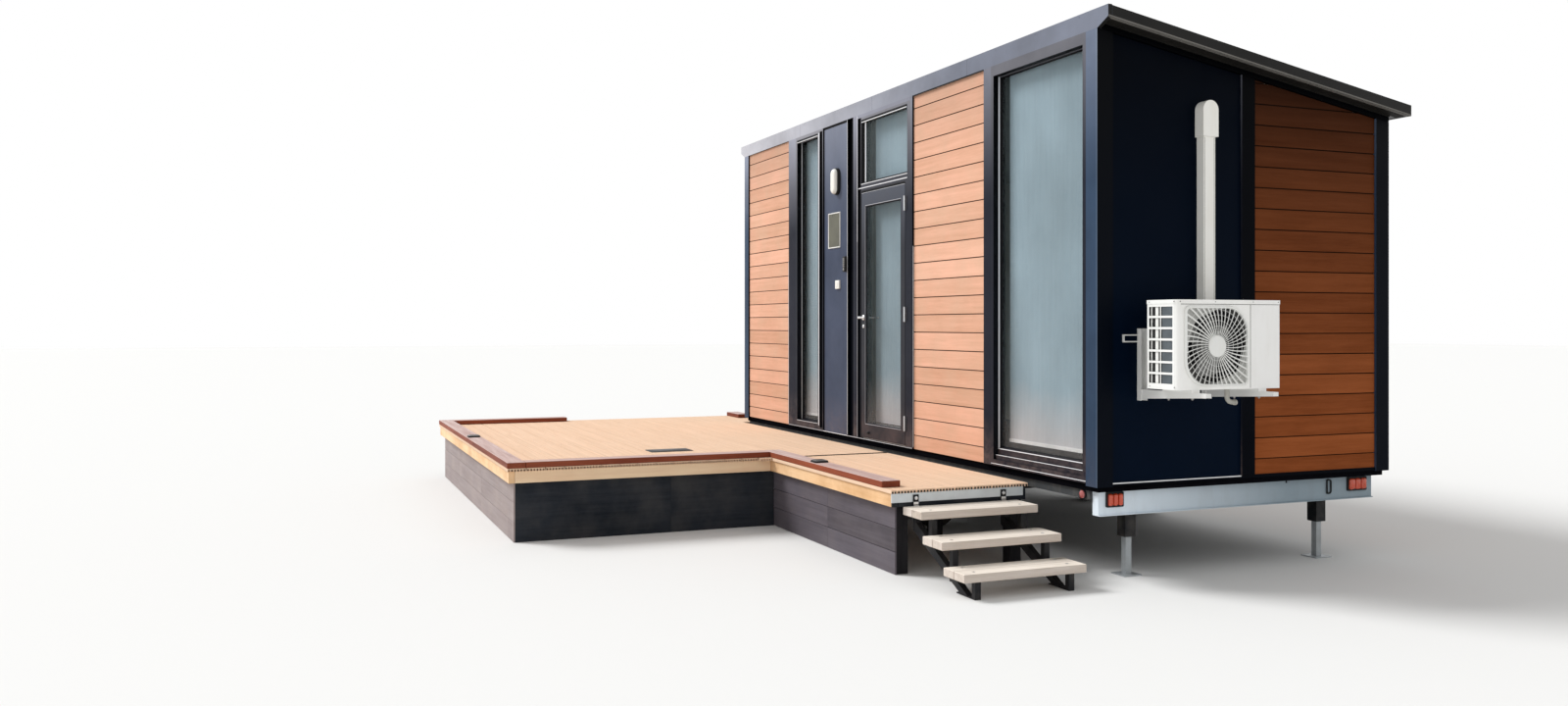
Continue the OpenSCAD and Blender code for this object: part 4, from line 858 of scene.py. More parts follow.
def layBoards(shape, along, wall, out, start, stop, low, high):
    rows = courses(low, high)
    for index, (z0, z1) in enumerate(rows):
        shape.prism(along, boardOutline(wall, out, z0, z1, index == len(rows) - 1), start, stop)


def makeCladding():
    wall, foot, rounding = house["wallY"], cladding["foot"], cladding["round"]
    gap = house["bandH"] + 0.4
    front = Shape()
    for x0, x1 in cladding["front"]:
        layBoards(front, "x", -wall, -1, x0, x1, foot, house["headZ"])
    front.done("cladding_front", "boardsFront", "cladding_timber", stands=("timber_front",), bevel=rounding)
    ends = Shape()
    for out in (-1, 1):
        layBoards(ends, "y", out * house["wallX"], out, *cladding["end"])
    ends.slice((0, 0, under(0) - gap), (0, house["slope"], 1))
    ends.done("cladding_ends", "boardsEnd", "cladding_timber", stands=("timber_ends",), bevel=rounding)
    back = Shape()
    for x0, x1 in cladding["back"]:
        layBoards(back, "x", wall, 1, x0, x1, foot, under(house["boardY"]) - gap)
    x0, x1, top = cladding["apron"]
    layBoards(back, "x", wall, 1, x0, x1, foot, top)
    back.done("cladding_back", "boardsBack", "cladding_timber", stands=("timber_back",), bevel=rounding)


makeCladding()
print("cladding laid")


# ribbed roof sheet, soffit strips of painted shade, verge lines, fascia seams and the bright flashing under
# the end panel
roofing = {
    "ribs": 34,
    "ribReach": 3240,
    "ribRun": (-1216, 1306),
    "ribTop": 26,
    "ribFoot": 52,
    "ribHeight": 10.5,
    "sheetDrop": 12,
    "screwRows": (-1100, -500, 100, 700, 1240),
    "seamX": (-1600, 0, 1600),
    "fasciaZ": (3532, 3653),
    "fasciaScrewZ": 3638,
    "fasciaScrewX": range(-3000, 3001, 500),
    "flashing": ((3176, -1128, 641), (3184.5, -82, 649.4)),
    # strips on both ends: x from and to, y from and to, heights from the roof's underside
    # near-black strips under the overhang: painted shade
    "soffitShade": ((3197, 3267, -1214, 1306, -4, -0.5), (3191, 3197, -1214, 1250, -12, -0.5)),
    "verge": ((3299.4, 3300.8, -1246, 1336, 0.5, 10), (3270, 3298, -1246, 1336, -2, -0.5)),
}


def makeRoofRibs():
    sheet = Shape()
    level = house["roofT"] - roofing["sheetDrop"]
    half, foot, rise = roofing["ribTop"] / 2, roofing["ribFoot"] / 2, roofing["ribHeight"]
    count, reach = roofing["ribs"], roofing["ribReach"]
    ribX = [-reach + k * 2 * reach / (count - 1) for k in range(count)]
    low, high = level - 1, level + rise
    for x in ribX:
        section = [(x - foot, low), (x + foot, low), (x + half, high), (x - half, high)]
        sheet.sloped(section, *roofing["ribRun"])
    for y in roofing["screwRows"]:
        for x in ribX[::2]:
            screwHead(sheet, "z", (x, y, under(y) + high - 1), 2.2, 6)
    sheet.done("roof_ribs", "roofSheet", "roof_sheet", bevel=1.5)


def makeRoof():
    makeRoofRibs()
    linings = ("soffit_strips", "soffitShade", roofing["soffitShade"]), ("verge_lines", "vergeGrey", roofing["verge"])
    for name, finish, strips in linings:
        lining = Shape()
        for side in (-1, 1):
            for inner, outer, y0, y1, low, high in strips:
                x0, x1 = sorted((side * inner, side * outer))
                lining.sloped(rectangle(x0, x1, low, high), y0, y1)
        lining.done(name, finish, "dark_trim")
    (inner, y0, z0), (outer, y1, z1) = roofing["flashing"]
    flashings = [((a, y0, z0), (b, y1, z1)) for a, b in ((-outer, -inner), (inner, outer))]
    boxPiece("bright_flashings", "brightEdge", "bright_metal", flashings, bevel=0.8)
    face = -house["sideY"]
    low, high = roofing["fasciaZ"]
    seams = Shape()
    for x in roofing["seamX"]:
        seams.box((x - 1.5, face - 0.6, low), (x + 1.5, face + 1, high))
    for x in roofing["fasciaScrewX"]:
        screwHead(seams, "y", (x, face + 0.5, roofing["fasciaScrewZ"]), -2.2, 4)
    seams.done("fascia_seams", "darkTrim", "dark_trim")


makeRoof()
print("roof ribbed")


# glazing beads, gaskets, the windows' pale edges, which are mostly painted highlights, and strips of painted
# shadow under the heads
beads = {
    "wide": 13,
    "proud": 14,
    "proudOnDoor": 9,
    "gasket": 5,
    "gasketProud": 2.5,
    # thin boxes on the front wall, by the piece that they make: low corner, high corner
    "lines": {
        # pale strips along the edges of frames, sills, trims and boards: painted highlights, with some bright
        # edging of the frames
        "bright_window_edges": {
            "bigLeftJamb": ((1973.6, -1209, 762), (1976, -1196.5, 3452)),
            "bigSill": ((1974, -1212, 756), (3035, -1202.5, 761)),
            "bigSillNose": ((1974, -1230.5, 712.5), (3035, -1225, 716.4)),
            "bigFoot": ((1941, -1251.5, 650.5), (3068, -1247, 655)),
            "narrowRightEdge": ((-1153, -1251.4, 690), (-1138, -1249.6, 3500)),
            "narrowSill": ((-1678, -1251.2, 703), (-1170, -1247, 707)),
            "narrowHead": ((-1679, -1251.4, 3476), (-1168, -1241, 3482)),
            "fanlightHead": ((-209, -1251.2, 3454), (640, -1241, 3460)),
            "panelRightEdge": ((-506.5, -1251.0, 655), (-500.5, -1249.4, 3526)),
            "coverStripTop": ((-296, -1251.0, 2400), (-289, -1249.4, 3526)),
            "fanlightLeft": ((-163, -1236, 2923), (-149, -1230.3, 3456)),
            "boardsByDoor": ((756.5, -1251, 655), (761, -1249.4, 2300)),
            "boardsByWindow": ((-1910, -1251, 655), (-1904, -1249.4, 2300)),
            "panelFoot": ((-1040, -1251.6, 642), (-508, -1249.4, 648)),
            "fanlightSill": ((-214, -1251.2, 2903), (652, -1249.4, 2909)),
            "doorTransom": ((-268, -1251.0, 2868), (652, -1249.4, 2875)),
            "narrowLeftJamb": ((-1678.7, -1203, 712), (-1676, -1196.3, 3488)),
        },
        # black strips under the heads and the fascia: painted shadow
        "head_shades": {
            "fanlight": ((-209, -1251.2, 3461), (651, -1241, 3479)),
            "narrow": ((-1679, -1251.2, 3483), (-1168, -1241, 3500)),
            "panel": ((-1046, -1236, 3512), (-508, -1234.6, 3529)),
            "boards": ((743, -1250.9, 3519), (1839, -1249, 3529.4)),
            "door": ((-204, -1250.8, 2834.4), (614, -1249.4, 2847)),
        },
        # painted highlight on the edge of the right corner trim
        "corner_line": {
            "rightCorner": ((3179, -1250.8, 625), (3189.6, -1249.2, 3522)),
        },
        # dimmer pale strips along the cover strip and the feet of the window and door: painted highlights
        "dull_edges": {
            "coverStripLow": ((-295, -1251.0, 655), (-289, -1249.4, 2399)),
            "windowFoot": ((-1895, -1251.6, 642), (-1042, -1249.4, 648)),
            "doorFoot": ((-505, -1251.6, 641), (738, -1249.4, 647.5)),
        },
        # pale lines round the door's glass and along the leaf's head: painted highlights
        "leaf_glass_lines": {
            "glassHead": ((-132.5, -1250.2, 2707), (542.5, -1248.6, 2711.5)),
            "glassLeft": ((-132.5, -1250.2, 778.5), (-128.5, -1248.6, 2707)),
            "glassFoot": ((-132.5, -1250.2, 778.5), (542.5, -1248.6, 782.5)),
            "leafHead": ((-204, -1250.8, 2822.5), (614, -1249.6, 2826.4)),
        },
    },
    # finish, slot, body and rounding of each of those pieces
    "looks": {
        "bright_window_edges": ("paleLine", "bright_metal", "house", 0.6),
        "head_shades": ("gasket", "dark_plastic", "house", 0),
        "corner_line": ("cornerHighlight", "dark_trim", "house", 0.6),
        "dull_edges": ("dimEdgeHighlight", "dark_trim", "house", 0.6),
        "leaf_glass_lines": ("dimEdgeHighlight", "window_frame", "door", 0.4),
    },
}


def beadRing(shape, wall, out, a0, a1, z0, z1, glass, wide, proud):
    # mitred bead round an opening: wall is the axis that looks out, glass its glass face
    front = glass + out * proud
    layers = [(0, glass), (0, front), (wide * 0.55, front), (wide, glass)]
    rings = [(rectangle(a0 + inset, a1 - inset, z0 + inset, z1 - inset), far) for inset, far in layers]
    shape.loft(wall, rings, loop=True)


# by the opening: axis that looks out, its sign, edges from low to high, glass face
openings = {
    "big": ("y", -1, 1973, 3036, 760, 3455, -1182),
    "narrow": ("y", -1, -1679, -1168, 708, 3490, -1182),
    "fanlight": ("y", -1, -210, 652, 2909, 3470, -1230),
    "backLeft": ("y", 1, -1116, -17, 1584, 2616, 1182),
    "backRight": ("y", 1, 17, 1116, 1584, 2616, 1182),
    "side": ("x", -1, -766, -234, 1834, 2666, -3122),
    "doorGlass": ("y", -1, -133, 543, 778, 2712, -1240),
}


def makeBeads():
    w = beads["wide"]
    for name, (wall, out, a0, a1, z0, z1, glass) in openings.items():
        onDoor = name == "doorGlass"
        body = "door" if onDoor else "house"
        proud = beads["proudOnDoor"] if onDoor else beads["proud"]
        bead = Shape()
        beadRing(bead, wall, out, a0 + 0.3, a1 - 0.3, z0 + 0.3, z1 - 0.3, glass + out * 0.3, w, proud)
        finish = "gasket" if name == "fanlight" else "frameMetal"
        bead.done("bead_" + name, finish, "window_frame", body, bevel=0.8)
        seal = Shape()
        beadRing(seal, wall, out, a0 + w - 1, a1 - w + 1, z0 + w - 1, z1 - w + 1, glass + out * 0.2,
                 beads["gasket"], beads["gasketProud"])
        seal.done("gasket_" + name, "gasket", "dark_plastic", body)
    for name, (finish, slot, body, bevel) in beads["looks"].items():
        boxPiece(name, finish, slot, beads["lines"][name].values(), body=body, bevel=bevel)


makeBeads()
print("windows beaded")


# roller blinds hang behind the glass with a slight wave
blinds = {
    "big": (2019, 3060, 834, 3530),
    "narrow": (-1703, -1108, 780, 3530),
    "door": (-145, 640, 792, 3500),
    "y": -1138.5,
    "wave": 0.9,
    "columns": 40,
    "rows": 60,
}


def makeBlind(name, body, stands):
    x0, x1, z0, z1 = blinds[name]
    columns, rows = blinds["columns"], blinds["rows"]
    mesh = bmesh.new()
    grid = []
    for r in range(rows + 1):
        line = []
        for c in range(columns + 1):
            u, v = c / columns, r / rows
            fold = math.sin(5 * math.pi * u + 1.4 * math.sin(4 * v))
            wave = blinds["wave"] * fold * (0.35 + 0.65 * (1 - v))
            line.append(mesh.verts.new(place(x0 + u * (x1 - x0), blinds["y"] + wave, z0 + v * (z1 - z0))))
        grid.append(line)
    for lower, upper in zip(grid, grid[1:]):
        for c in range(columns):
            mesh.faces.new((lower[c], lower[c + 1], upper[c + 1], upper[c])).smooth = True
    piece = addObject("blind_" + name, addMesh(name, mesh, finishes["blindCloth"]))
    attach(piece, body)
    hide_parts(stands)


makeBlind("big", "house", "roller_blinds")
makeBlind("narrow", "house", "roller_blinds")
makeBlind("door", "house", "door_blind")
print("blinds hung")


# door: lever handles, bumper, sill plate, seals and hinge caps
door = {
    "roseX": -163,
    "handleZ": 1720,
    "keyholeDrop": 78,
    "bumperAt": (-60, 708),
    "hingeAt": (618, -1258),
    "hingeZ": (837, 1742, 2662),
    "hingeHalf": 60,
    "leverOut": 50,
    "sill": ((-199, -1236, 650.4), (609, -1160, 655.5)),
    "sillRibs": 6,
    "sillRibPitch": 12,
    # turned parts: (radius, distance out)
    "rose": ((25, 0), (25, 5), (22, 8), (11, 8.6), (9.5, 14), (9.5, 47), (5, 47)),
    "keyRose": ((16, 0), (16, 4), (14, 6), (3, 6)),
    "bumper": ((15, 0), (15, 3), (12, 8), (9, 16), (6, 19), (1, 19.5)),
    "pin": ((6.4, 0), (6.4, 1.2), (4.5, 3.2), (1, 3.4)),
    # sections of the lever: distance along it, half height, half thickness
    "lever": ((-9, 8, 6), (-4, 10, 7), (20, 9.5, 7), (70, 8, 6), (108, 7, 5), (116, 4.5, 3.5)),
    # strips round the rebate: low corner, high corner
    "seals": (
        ((-211.6, -1206, 660), (-204, -1201.2, 2826)),
        ((615, -1206, 660), (621.6, -1201.2, 2826)),
        ((-204, -1206, 2828), (615, -1201.2, 2833.6)),
    ),
}


def makeHandles():
    lever = Shape()
    x, z = door["roseX"], door["handleZ"]
    low = z - door["keyholeDrop"]
    for out, face in ((-1, house["doorFaceY"]), (1, house["doorBackY"])):
        lever.lathe("y", (x, face, z), outward(door["rose"], out), 28)
        layers = []
        for far, half, wide in door["lever"]:
            bend = face + out * (door["leverOut"] + (2 if far > 60 else 0))
            layers.append((roundedCorners(2 * wide, 2 * half, [3.2] * 4, 4, (bend, z)), x + far))
        lever.loft("x", layers)
        lever.lathe("y", (x, face, low), outward(door["keyRose"], out), 24)
        y0, y1 = sorted((face + out * 6, face + out * 6.6))
        lever.box((x - 1.6, y0, low - 10), (x + 1.6, y1, low))
    lever.done("lever_handles", "brightSteel", "bright_metal", "door", stands=("door_handle",), bevel=0.8)


def makeDoorDetails():
    x, z = door["bumperAt"]
    stop = Shape()
    stop.lathe("y", (x, house["doorFaceY"], z), outward(door["bumper"], -1), 24)
    stop.done("door_bumper", "darkPlastic", "dark_plastic", "door")
    (x0, y0, _), (x1, _, high) = door["sill"]
    ribY = [y0 + 4 + k * door["sillRibPitch"] for k in range(door["sillRibs"])]
    plate = [door["sill"]] + [((x0, y, high), (x1, y + 5, high + 1.1)) for y in ribY]
    boxPiece("door_sill_plate", "brightEdge", "bright_metal", plate, bevel=0.6)
    boxPiece("door_seals", "gasket", "dark_plastic", door["seals"], bevel=1)
    pins = Shape()
    for z in door["hingeZ"]:
        for out in (-1, 1):
            pins.lathe("z", (*door["hingeAt"], z + out * door["hingeHalf"]), outward(door["pin"], out), 20)
    pins.done("hinge_caps", "brightSteel", "bright_metal")


makeHandles()
makeDoorDetails()
print("door fitted")


# lamp, plaque, key box and switch on the dark panel
fittings = {
    "lampAt": (-742, 2990),
    "lamp": (120, 250),
    "plaqueAt": (-810, 2540),
    "plaqueHalf": 124,
    "plaqueTaller": 35,
    "keyAt": (-563, 2141),
    "keyBox": (50, 142),
    "switchAt": (-770, 1990),
    "switch": (86, 80),
}


def makeLamp(face, x, z):
    wide, tall = fittings["lamp"]

    def layers(pairs):
        # ovals set in from the lamp's edge, each at its distance from the wall
        return [(wide - 2 * inset, tall - 2 * inset, wide / 2 - inset - 0.01, face - far)
                for inset, far in pairs]

    body = Shape()
    body.stack("y", (x, z), 14, layers(((0, 0), (0, 26), (3, 30), (8, 31))))
    body.done("lamp_body", "lampBlack", "dark_plastic", stands=("wall_lamp",), bevel=1)
    dome = Shape()
    dome.stack("y", (x, z), 14, layers(((8.4, 29), (9, 40), (12, 50), (19, 57), (30, 60.5), (45, 61.5))))
    dome.done("lamp_diffuser", "lampWhite", "lamp_plastic", stands=("wall_lamp",))
    end = tall / 2 - 8
    clips = [((x - 6, face - 33, z + rise - 4), (x + 6, face - 24, z + rise + 4)) for rise in (-end, end)]
    boxPiece("lamp_screws", "screwSteel", "bright_metal", clips, bevel=1)


def makePlaque(face, x, z):
    half, taller = fittings["plaqueHalf"], fittings["plaqueTaller"]
    high = half + taller
    plate = [((x - half, face - 6, z - high), (x + half, face, z + high))]
    boxPiece("plaque_plate", "plateDark", "dark_plate", plate, stands=("plaque",), bevel=0.6)
    rim = Shape()
    layers = []
    for wider, far in ((6, 0), (6, 9), (3, 10), (-3, 7), (-3, 0)):
        a, b = half + wider, high + wider
        layers.append((rectangle(x - a, x + a, z - b, z + b), face - far))
    rim.loft("y", layers, loop=True)
    rim.done("plaque_rim", "whitePaint", "bright_metal", stands=("plaque",), bevel=0.5)


def makeKeyBox(face, x, z):
    case = Shape()
    wide, tall = fittings["keyBox"]
    layers = [(wide, tall, 8, face), (wide, tall, 8, face - 30), (wide - 8, tall - 8, 6, face - 38)]
    case.stack("y", (x + wide / 2, z + tall / 2), 5, layers)
    case.done("key_box", "darkPlastic", "dark_plastic", stands=("wall_fittings",), bevel=1)
    keys = Shape()
    for row in range(5):
        for column in range(2):
            keys.lathe("y", (x + 16 + 18 * column, face - 37.5, z + 118 - row * 17),
                       [(6.2, 0), (6.2, -1.6), (4.5, -2.6), (1, -2.8)], 16)
    keys.lathe("y", (x + wide / 2, face - 37.5, z + 24), [(11, 0), (11, -2), (8, -3.5), (1, -3.6)], 20)
    keys.done("key_box_buttons", "screwSteel", "bright_metal")


def makeSwitch(face, x, z):
    cover = Shape()
    wide, tall = fittings["switch"]
    layers = [(wide, tall, 5, face), (wide, tall, 5, face - 14), (wide - 6, tall - 6, 4, face - 17)]
    cover.stack("y", (x + wide / 2, z + tall / 2), 4, layers)
    for left, right in ((22, 41.5), (44.5, 64)):
        cover.box((x + left, face - 20, z + 18), (x + right, face - 16, z + 62))
    cover.done("switch_cover", "lampWhite", "lamp_plastic", stands=("wall_fittings",), bevel=1)


def makeFittings():
    face = -house["boardY"]
    makeLamp(face, *fittings["lampAt"])
    makePlaque(face, *fittings["plaqueAt"])
    makeKeyBox(face, *fittings["keyAt"])
    makeSwitch(face, *fittings["switchAt"])


makeFittings()
print("wall fittings made")


# outdoor unit: ribbed guard, coil fins behind the louvres, screws, drain and pipes
unit = {
    "x0": 3416,
    "x1": 3700,
    "y0": -1053,
    "y1": -248,
    "z0": 1261,
    "z1": 1807,
    "fanY": -755,
    "fanZ": 1525,
    "guard": 488,
    "rim": 15,
    "hub": 66,
    "ribs": 44,
    "ribHalf": 2.7,
    "ribTwist": 0.16,
    "ringFirst": 88,
    "ringPitch": 34,
    "ringHalf": 1.1,
    "ringSteps": 120,
    "plateInside": 219.5,
    "panelY": -488,
    "louvreRows": 7,
    "louvrePitch": (546 - 64) / 7,
    "holeDeep": 20.4,
    "finsPerHole": 18,
    # upright posts behind the louvres: from, to, depth inside the face
    "posts": ((52, 78, 9), (6, 14, 13)),
    "coilWires": 150,
    "coilPitch": 4.3,
    "feetY": (-905, -385),
    # underside of the bracket's arms: x, length, height at the wall, rise
    "arms": (3175, 625, 1181, 36),
    "wallBoltX": 3178.6,
    "wallBoltZ": (1215, 1400, 1590),
    "drainAt": (3558, -546, 1260),
    # the drain's bend: distance along and down
    "drainBend": ((0, 0), (0, 34), (0, 56), (5, 72), (18, 84), (38, 89), (72, 91)),
    "drainThick": 15,
    # middle lines of the two lagged pipes, by their radius
    "pipes": {
        11: [(3418, -470, 1420), (3378, -470, 1421), (3330, -465, 1427), (3280, -452, 1446),
             (3234, -440, 1480), (3206, -433, 1530), (3199, -431, 1580), (3198, -430, 1640)],
        8: [(3418, -505, 1385), (3380, -504, 1386), (3340, -499, 1390), (3296, -480, 1408),
            (3258, -456, 1446), (3234, -440, 1500), (3227, -434, 1570), (3226, -432, 1640)],
    },
}


# finish of the outdoor unit's casing, its front paler as painted light
casing = {
    "side": (0.86, 0.865, 0.845),
    "front": (0.96, 0.955, 0.93),
    "panel": (0.93, 0.925, 0.91),
    "wellRadius": 0.2212,
    "louvres": ((3438, -1048.5, 1295), (3640, -1029, 1774)),
}


def casingPaint():
    # the outdoor unit's white casing, with painted shade inside the fan's well
    graph = newGraph("casingPaint")
    here = graph.here()
    rain = graph.noise(graph.squeeze(here, (1, 1, 0.12)), 22, 5, 0.6)
    cloud = graph.noise(here, 5, 4, 0.55)
    mould = graph.noise(here, 600, 2, 0.5)
    hub = place(unit["x1"], unit["fanY"], unit["fanZ"])
    aside = (graph.axis(1) - hub.y) ** 2 + (graph.axis(2) - hub.z) ** 2
    shade = (aside < casing["wellRadius"] ** 2) * (graph.axis(0) < hub.x - 0.004)
    # painted light: the front is paler than the sides, for the weaker light that falls on it, and the panel
    # beside the fan a shade darker again
    ahead = graph.facing(0) > 0.5
    lit = graph.mix(ahead, casing["side"], casing["front"])
    panel = (graph.axis(1) > place(0, unit["panelY"], 0).y) * ahead
    lit = graph.mix(panel, lit, casing["panel"])
    base = graph.mix(graph.between(rain * 0.6 + cloud * 0.5, 0.5, 0.78, 0, 0.25), lit, dirtAndPaintedLight["rain"])
    # edges of the openings in the side are deep in shade
    low, high = (place(*corner) for corner in casing["louvres"])
    jamb = 1
    for index in range(3):
        jamb = jamb * (graph.axis(index) > low[index]) * (graph.axis(index) < high[index])
    return graph.surface({
        "Base Color": graph.mix(graph.calc("MAXIMUM", shade, jamb), base, dirtAndPaintedLight["deepShade"]),
        "Roughness": graph.between(cloud, 0.3, 0.7, 0.36, 0.5),
        "Normal": graph.bump(mould, 0.12, 0.0004),
        "Specular IOR Level": 0.3,
    })


def guardOutline(inset):
    width = unit["guard"] - 2 * inset
    wide, tight = unit["guard"] * 0.33 - inset, max(3, unit["guard"] / 14 - inset / 2)
    return roundedCorners(width, width, (wide, tight, wide, tight), 12, (unit["fanY"], unit["fanZ"]))


def aroundFan(radius, angle):
    return unit["fanY"] + radius * math.cos(angle), unit["fanZ"] + radius * math.sin(angle)


def reachAt(outline, angle):
    # distance from the fan's middle to an outline, along a direction
    dy, dz = math.cos(angle), math.sin(angle)
    best = 0
    for (ya, za), (yb, zb) in zip(outline, outline[1:] + outline[:1]):
        ya, yb, za, zb = ya - unit["fanY"], yb - unit["fanY"], za - unit["fanZ"], zb - unit["fanZ"]
        across = dy * (zb - za) - dz * (yb - ya)
        if abs(across) < 1e-9:
            continue
        far = (ya * (zb - za) - za * (yb - ya)) / across
        share = (dz * ya - dy * za) / across
        if far > 0 and -1e-6 <= share <= 1 + 1e-6:
            best = max(best, far)
    return best


def makeGuardRibs(wires, front, inner):
    # the ribs are twisted, so they look broad towards the two tight corners
    hub = unit["hub"] - 3
    for k in range(unit["ribs"]):
        start = math.tau * k / unit["ribs"]
        reach = reachAt(inner, start + unit["ribTwist"])
        points, widths = [], []
        for step in range(6):
            share = step / 5
            angle = start + unit["ribTwist"] * share
            radius = hub + share * (reach - unit["hub"] + 3)
            lift = front + 6.5 + 3.5 * math.sin(math.pi * share)
            points.append((lift, *aroundFan(radius, angle)))
            broad = 1 + 0.8 * max(0, -math.sin(2 * angle))
            widths.append(unit["ribHalf"] * (0.7 + 0.6 * share) * broad)
        wires.tube(points, widths, 6)


def makeGuardRings(wires, front, inner):
    # rings of wire; those that reach past the rim are cut into arcs
    steps = unit["ringSteps"]
    angles = [math.tau * i / steps for i in range(steps)]
    reaches = [reachAt(inner, angle) for angle in angles]
    for radius in range(unit["ringFirst"], 285, unit["ringPitch"]):
        lift = front + 5 + 3.5 * math.sin(math.pi * min(1, (radius - unit["hub"]) / 190))
        ring = [(lift, *aroundFan(radius, angle)) for angle in angles]
        inside = [reach > radius for reach in reaches]
        if all(inside):
            wires.tube(ring, unit["ringHalf"], 4, loop=True)
        elif any(inside):
            first = inside.index(False)
            run = []
            for step in range(1, steps + 1):
                i = (first + step) % steps
                if inside[i]:
                    run.append(ring[i])
                    continue
                if len(run) > 1:
                    wires.tube(run, unit["ringHalf"], 4)
                run = []


def makeGuardPlates(front):
    # plates between the fan's well and the rim, pale in the two tight corners
    fanY, fanZ = unit["fanY"], unit["fanZ"]
    outer = guardOutline(unit["rim"] + 1)
    half = unit["guard"] / 2 - unit["rim"] - 1
    middles = [(fanY + a * half, fanZ + b * half) for a, b in ((0, -1), (1, 0), (0, 1), (-1, 0))]
    perCorner = len(outer) // 4
    for name, corners, finish in (("shade", (0, 2), "guardShade"), ("plate", (1, 3), "guardPlate")):
        backing = Shape()
        for corner in corners:
            arcPoints = outer[corner * perCorner:(corner + 1) * perCorner]
            points = [middles[corner - 1]] + arcPoints + [middles[corner]]
            well = []
            for y, z in points:
                far = math.hypot(y - fanY, z - fanZ) / unit["plateInside"]
                well.append((fanY + (y - fanY) / far, fanZ + (z - fanZ) / far))
            backing.prism("x", points + well[::-1], front - 2.9, front - 2.3)
        backing.done("guard_" + name, finish, "white_metal", smooth=False)


def makeGuard():
    front, hub = unit["x1"], unit["hub"]
    rim = Shape()
    section = ((0, -2), (0, 9), (4, 14), (11, 14), (unit["rim"], 8), (unit["rim"], -2))
    rim.loft("x", [(guardOutline(inset), front + far) for inset, far in section], loop=True)
    rim.lathe("x", (front, unit["fanY"], unit["fanZ"]),
              [(hub, 4), (hub, 9), (hub - 4, 12.5), (hub - 14, 13.8), (6, 14)], 48)
    rim.done("guard_rim", "whiteMetal", "white_metal", stands=("ac_fan_guard",), bevel=0.8)
    makeGuardPlates(front)
    wires = Shape()
    inner = guardOutline(unit["rim"] - 2)
    makeGuardRibs(wires, front, inner)
    makeGuardRings(wires, front, inner)
    wires.done("guard_wires", "whiteMetal", "white_metal", stands=("ac_fan_guard",))


def louvreHole(row, column):
    # edges of one opening in the casing's side: x0, x1, z0, z1
    wide = (unit["x1"] - unit["x0"]) * 0.39
    x0 = unit["x0"] + 24 + column * wide
    z0 = unit["z0"] + 36 + row * unit["louvrePitch"]
    return x0, x0 + 0.93 * wide, z0, z0 + 0.8 * unit["louvrePitch"]


def makeLouvres():
    side = unit["y0"]
    deep = side + unit["holeDeep"]
    fins, bars, darks = Shape(), Shape(), Shape()
    for row in range(unit["louvreRows"]):
        for column in range(2):
            x0, x1, z0, z1 = louvreHole(row, column)
            # painted shade: a black sheet at the depth of each opening
            darks.box((x0 + 0.5, deep, z0 + 0.5), (x1 - 0.5, deep + 1.4, z1 - 0.5))
            if column:
                for k in range(unit["finsPerHole"]):
                    x = x0 + 3 + k * (x1 - x0 - 6) / (unit["finsPerHole"] - 1)
                    fins.box((x - 1.3, side + 9, z0), (x + 1.3, deep, z1))
            else:
                for a, b, inside in unit["posts"]:
                    bars.box((x0 + a, side + inside, z0), (x0 + b, deep, z1))
    for k in range(unit["coilWires"]):
        y = side + 60 + k * unit["coilPitch"]
        fins.box((unit["x0"] + 6, y, unit["z0"] + 32), (unit["x0"] + 11.6, y + 1.2, unit["z1"] - 52))
    fins.done("coil_fins", "finMetal", "bright_metal")
    bars.done("louvre_posts", "whiteMetal", "white_metal", bevel=1)
    darks.done("louvre_hole_shade", "lampBlack", "dark_plastic")


def makeUnitScrews():
    side, top = unit["y0"], unit["z1"] - 12
    screws = Shape()
    for y in (side + 24, side + 290, unit["panelY"] + 20, unit["y1"] - 20):
        screwHead(screws, "x", (unit["x1"] - 1.6, y, top), 2.5, 4.5)
    for x in (unit["x0"] + 30, unit["x1"] - 30):
        screwHead(screws, "y", (x, side + 1, top), -2.6, 4.5)
        screwHead(screws, "y", (x, side + 3.5, unit["z0"] + 16), -2.6, 4.5)
    armX, armLong, armLow, armRise = unit["arms"]
    for y in unit["feetY"]:
        for x in (unit["x0"] + 30, unit["x1"] - 40):
            # the arms rise towards their tips
            low = armLow + (x - armX) / armLong * armRise
            screws.lathe("z", (x, y, low + 1), [(9, 0), (9, -7), (5, -7), (5, -13), (1, -13)], 6)
            screws.lathe("z", (x, y, unit["z0"] - 18), [(15, 0), (15, 14), (11, 18), (2, 18)], 16)
    screws.done("unit_screws", "screwSteel", "bright_metal")


def makeDrain():
    x, y, top = unit["drainAt"]
    drain = Shape()
    drain.tube([(x, y + along, top - down) for along, down in unit["drainBend"]], unit["drainThick"], 16)
    drain.lathe("z", (x, y, top), [(26, 0), (26, -7), (20, -9), (14, -9)], 24)
    drain.lathe("y", (x, y + 56, 1169.5), [(18, 0), (18, 14), (15, 16)], 24)
    drain.done("drain_elbow", "drainPlastic", "white_plastic")


def smoothed(points, steps=4):
    # a curve through all the points
    curve = []
    for i, (a, b) in enumerate(zip(points, points[1:])):
        before = points[i - 1] if i else a
        after = points[i + 2] if i + 2 < len(points) else b
        for step in range(steps):
            t = step / steps
            spot = []
            for p, q, r, w in zip(before, a, b, after):
                bend, twist = 2 * p - 5 * q + 4 * r - w, 3 * q - p - 3 * r + w
                spot.append(0.5 * (2 * q + (r - p) * t + bend * t * t + twist * t ** 3))
            curve.append(tuple(spot))
    return curve + [points[-1]]


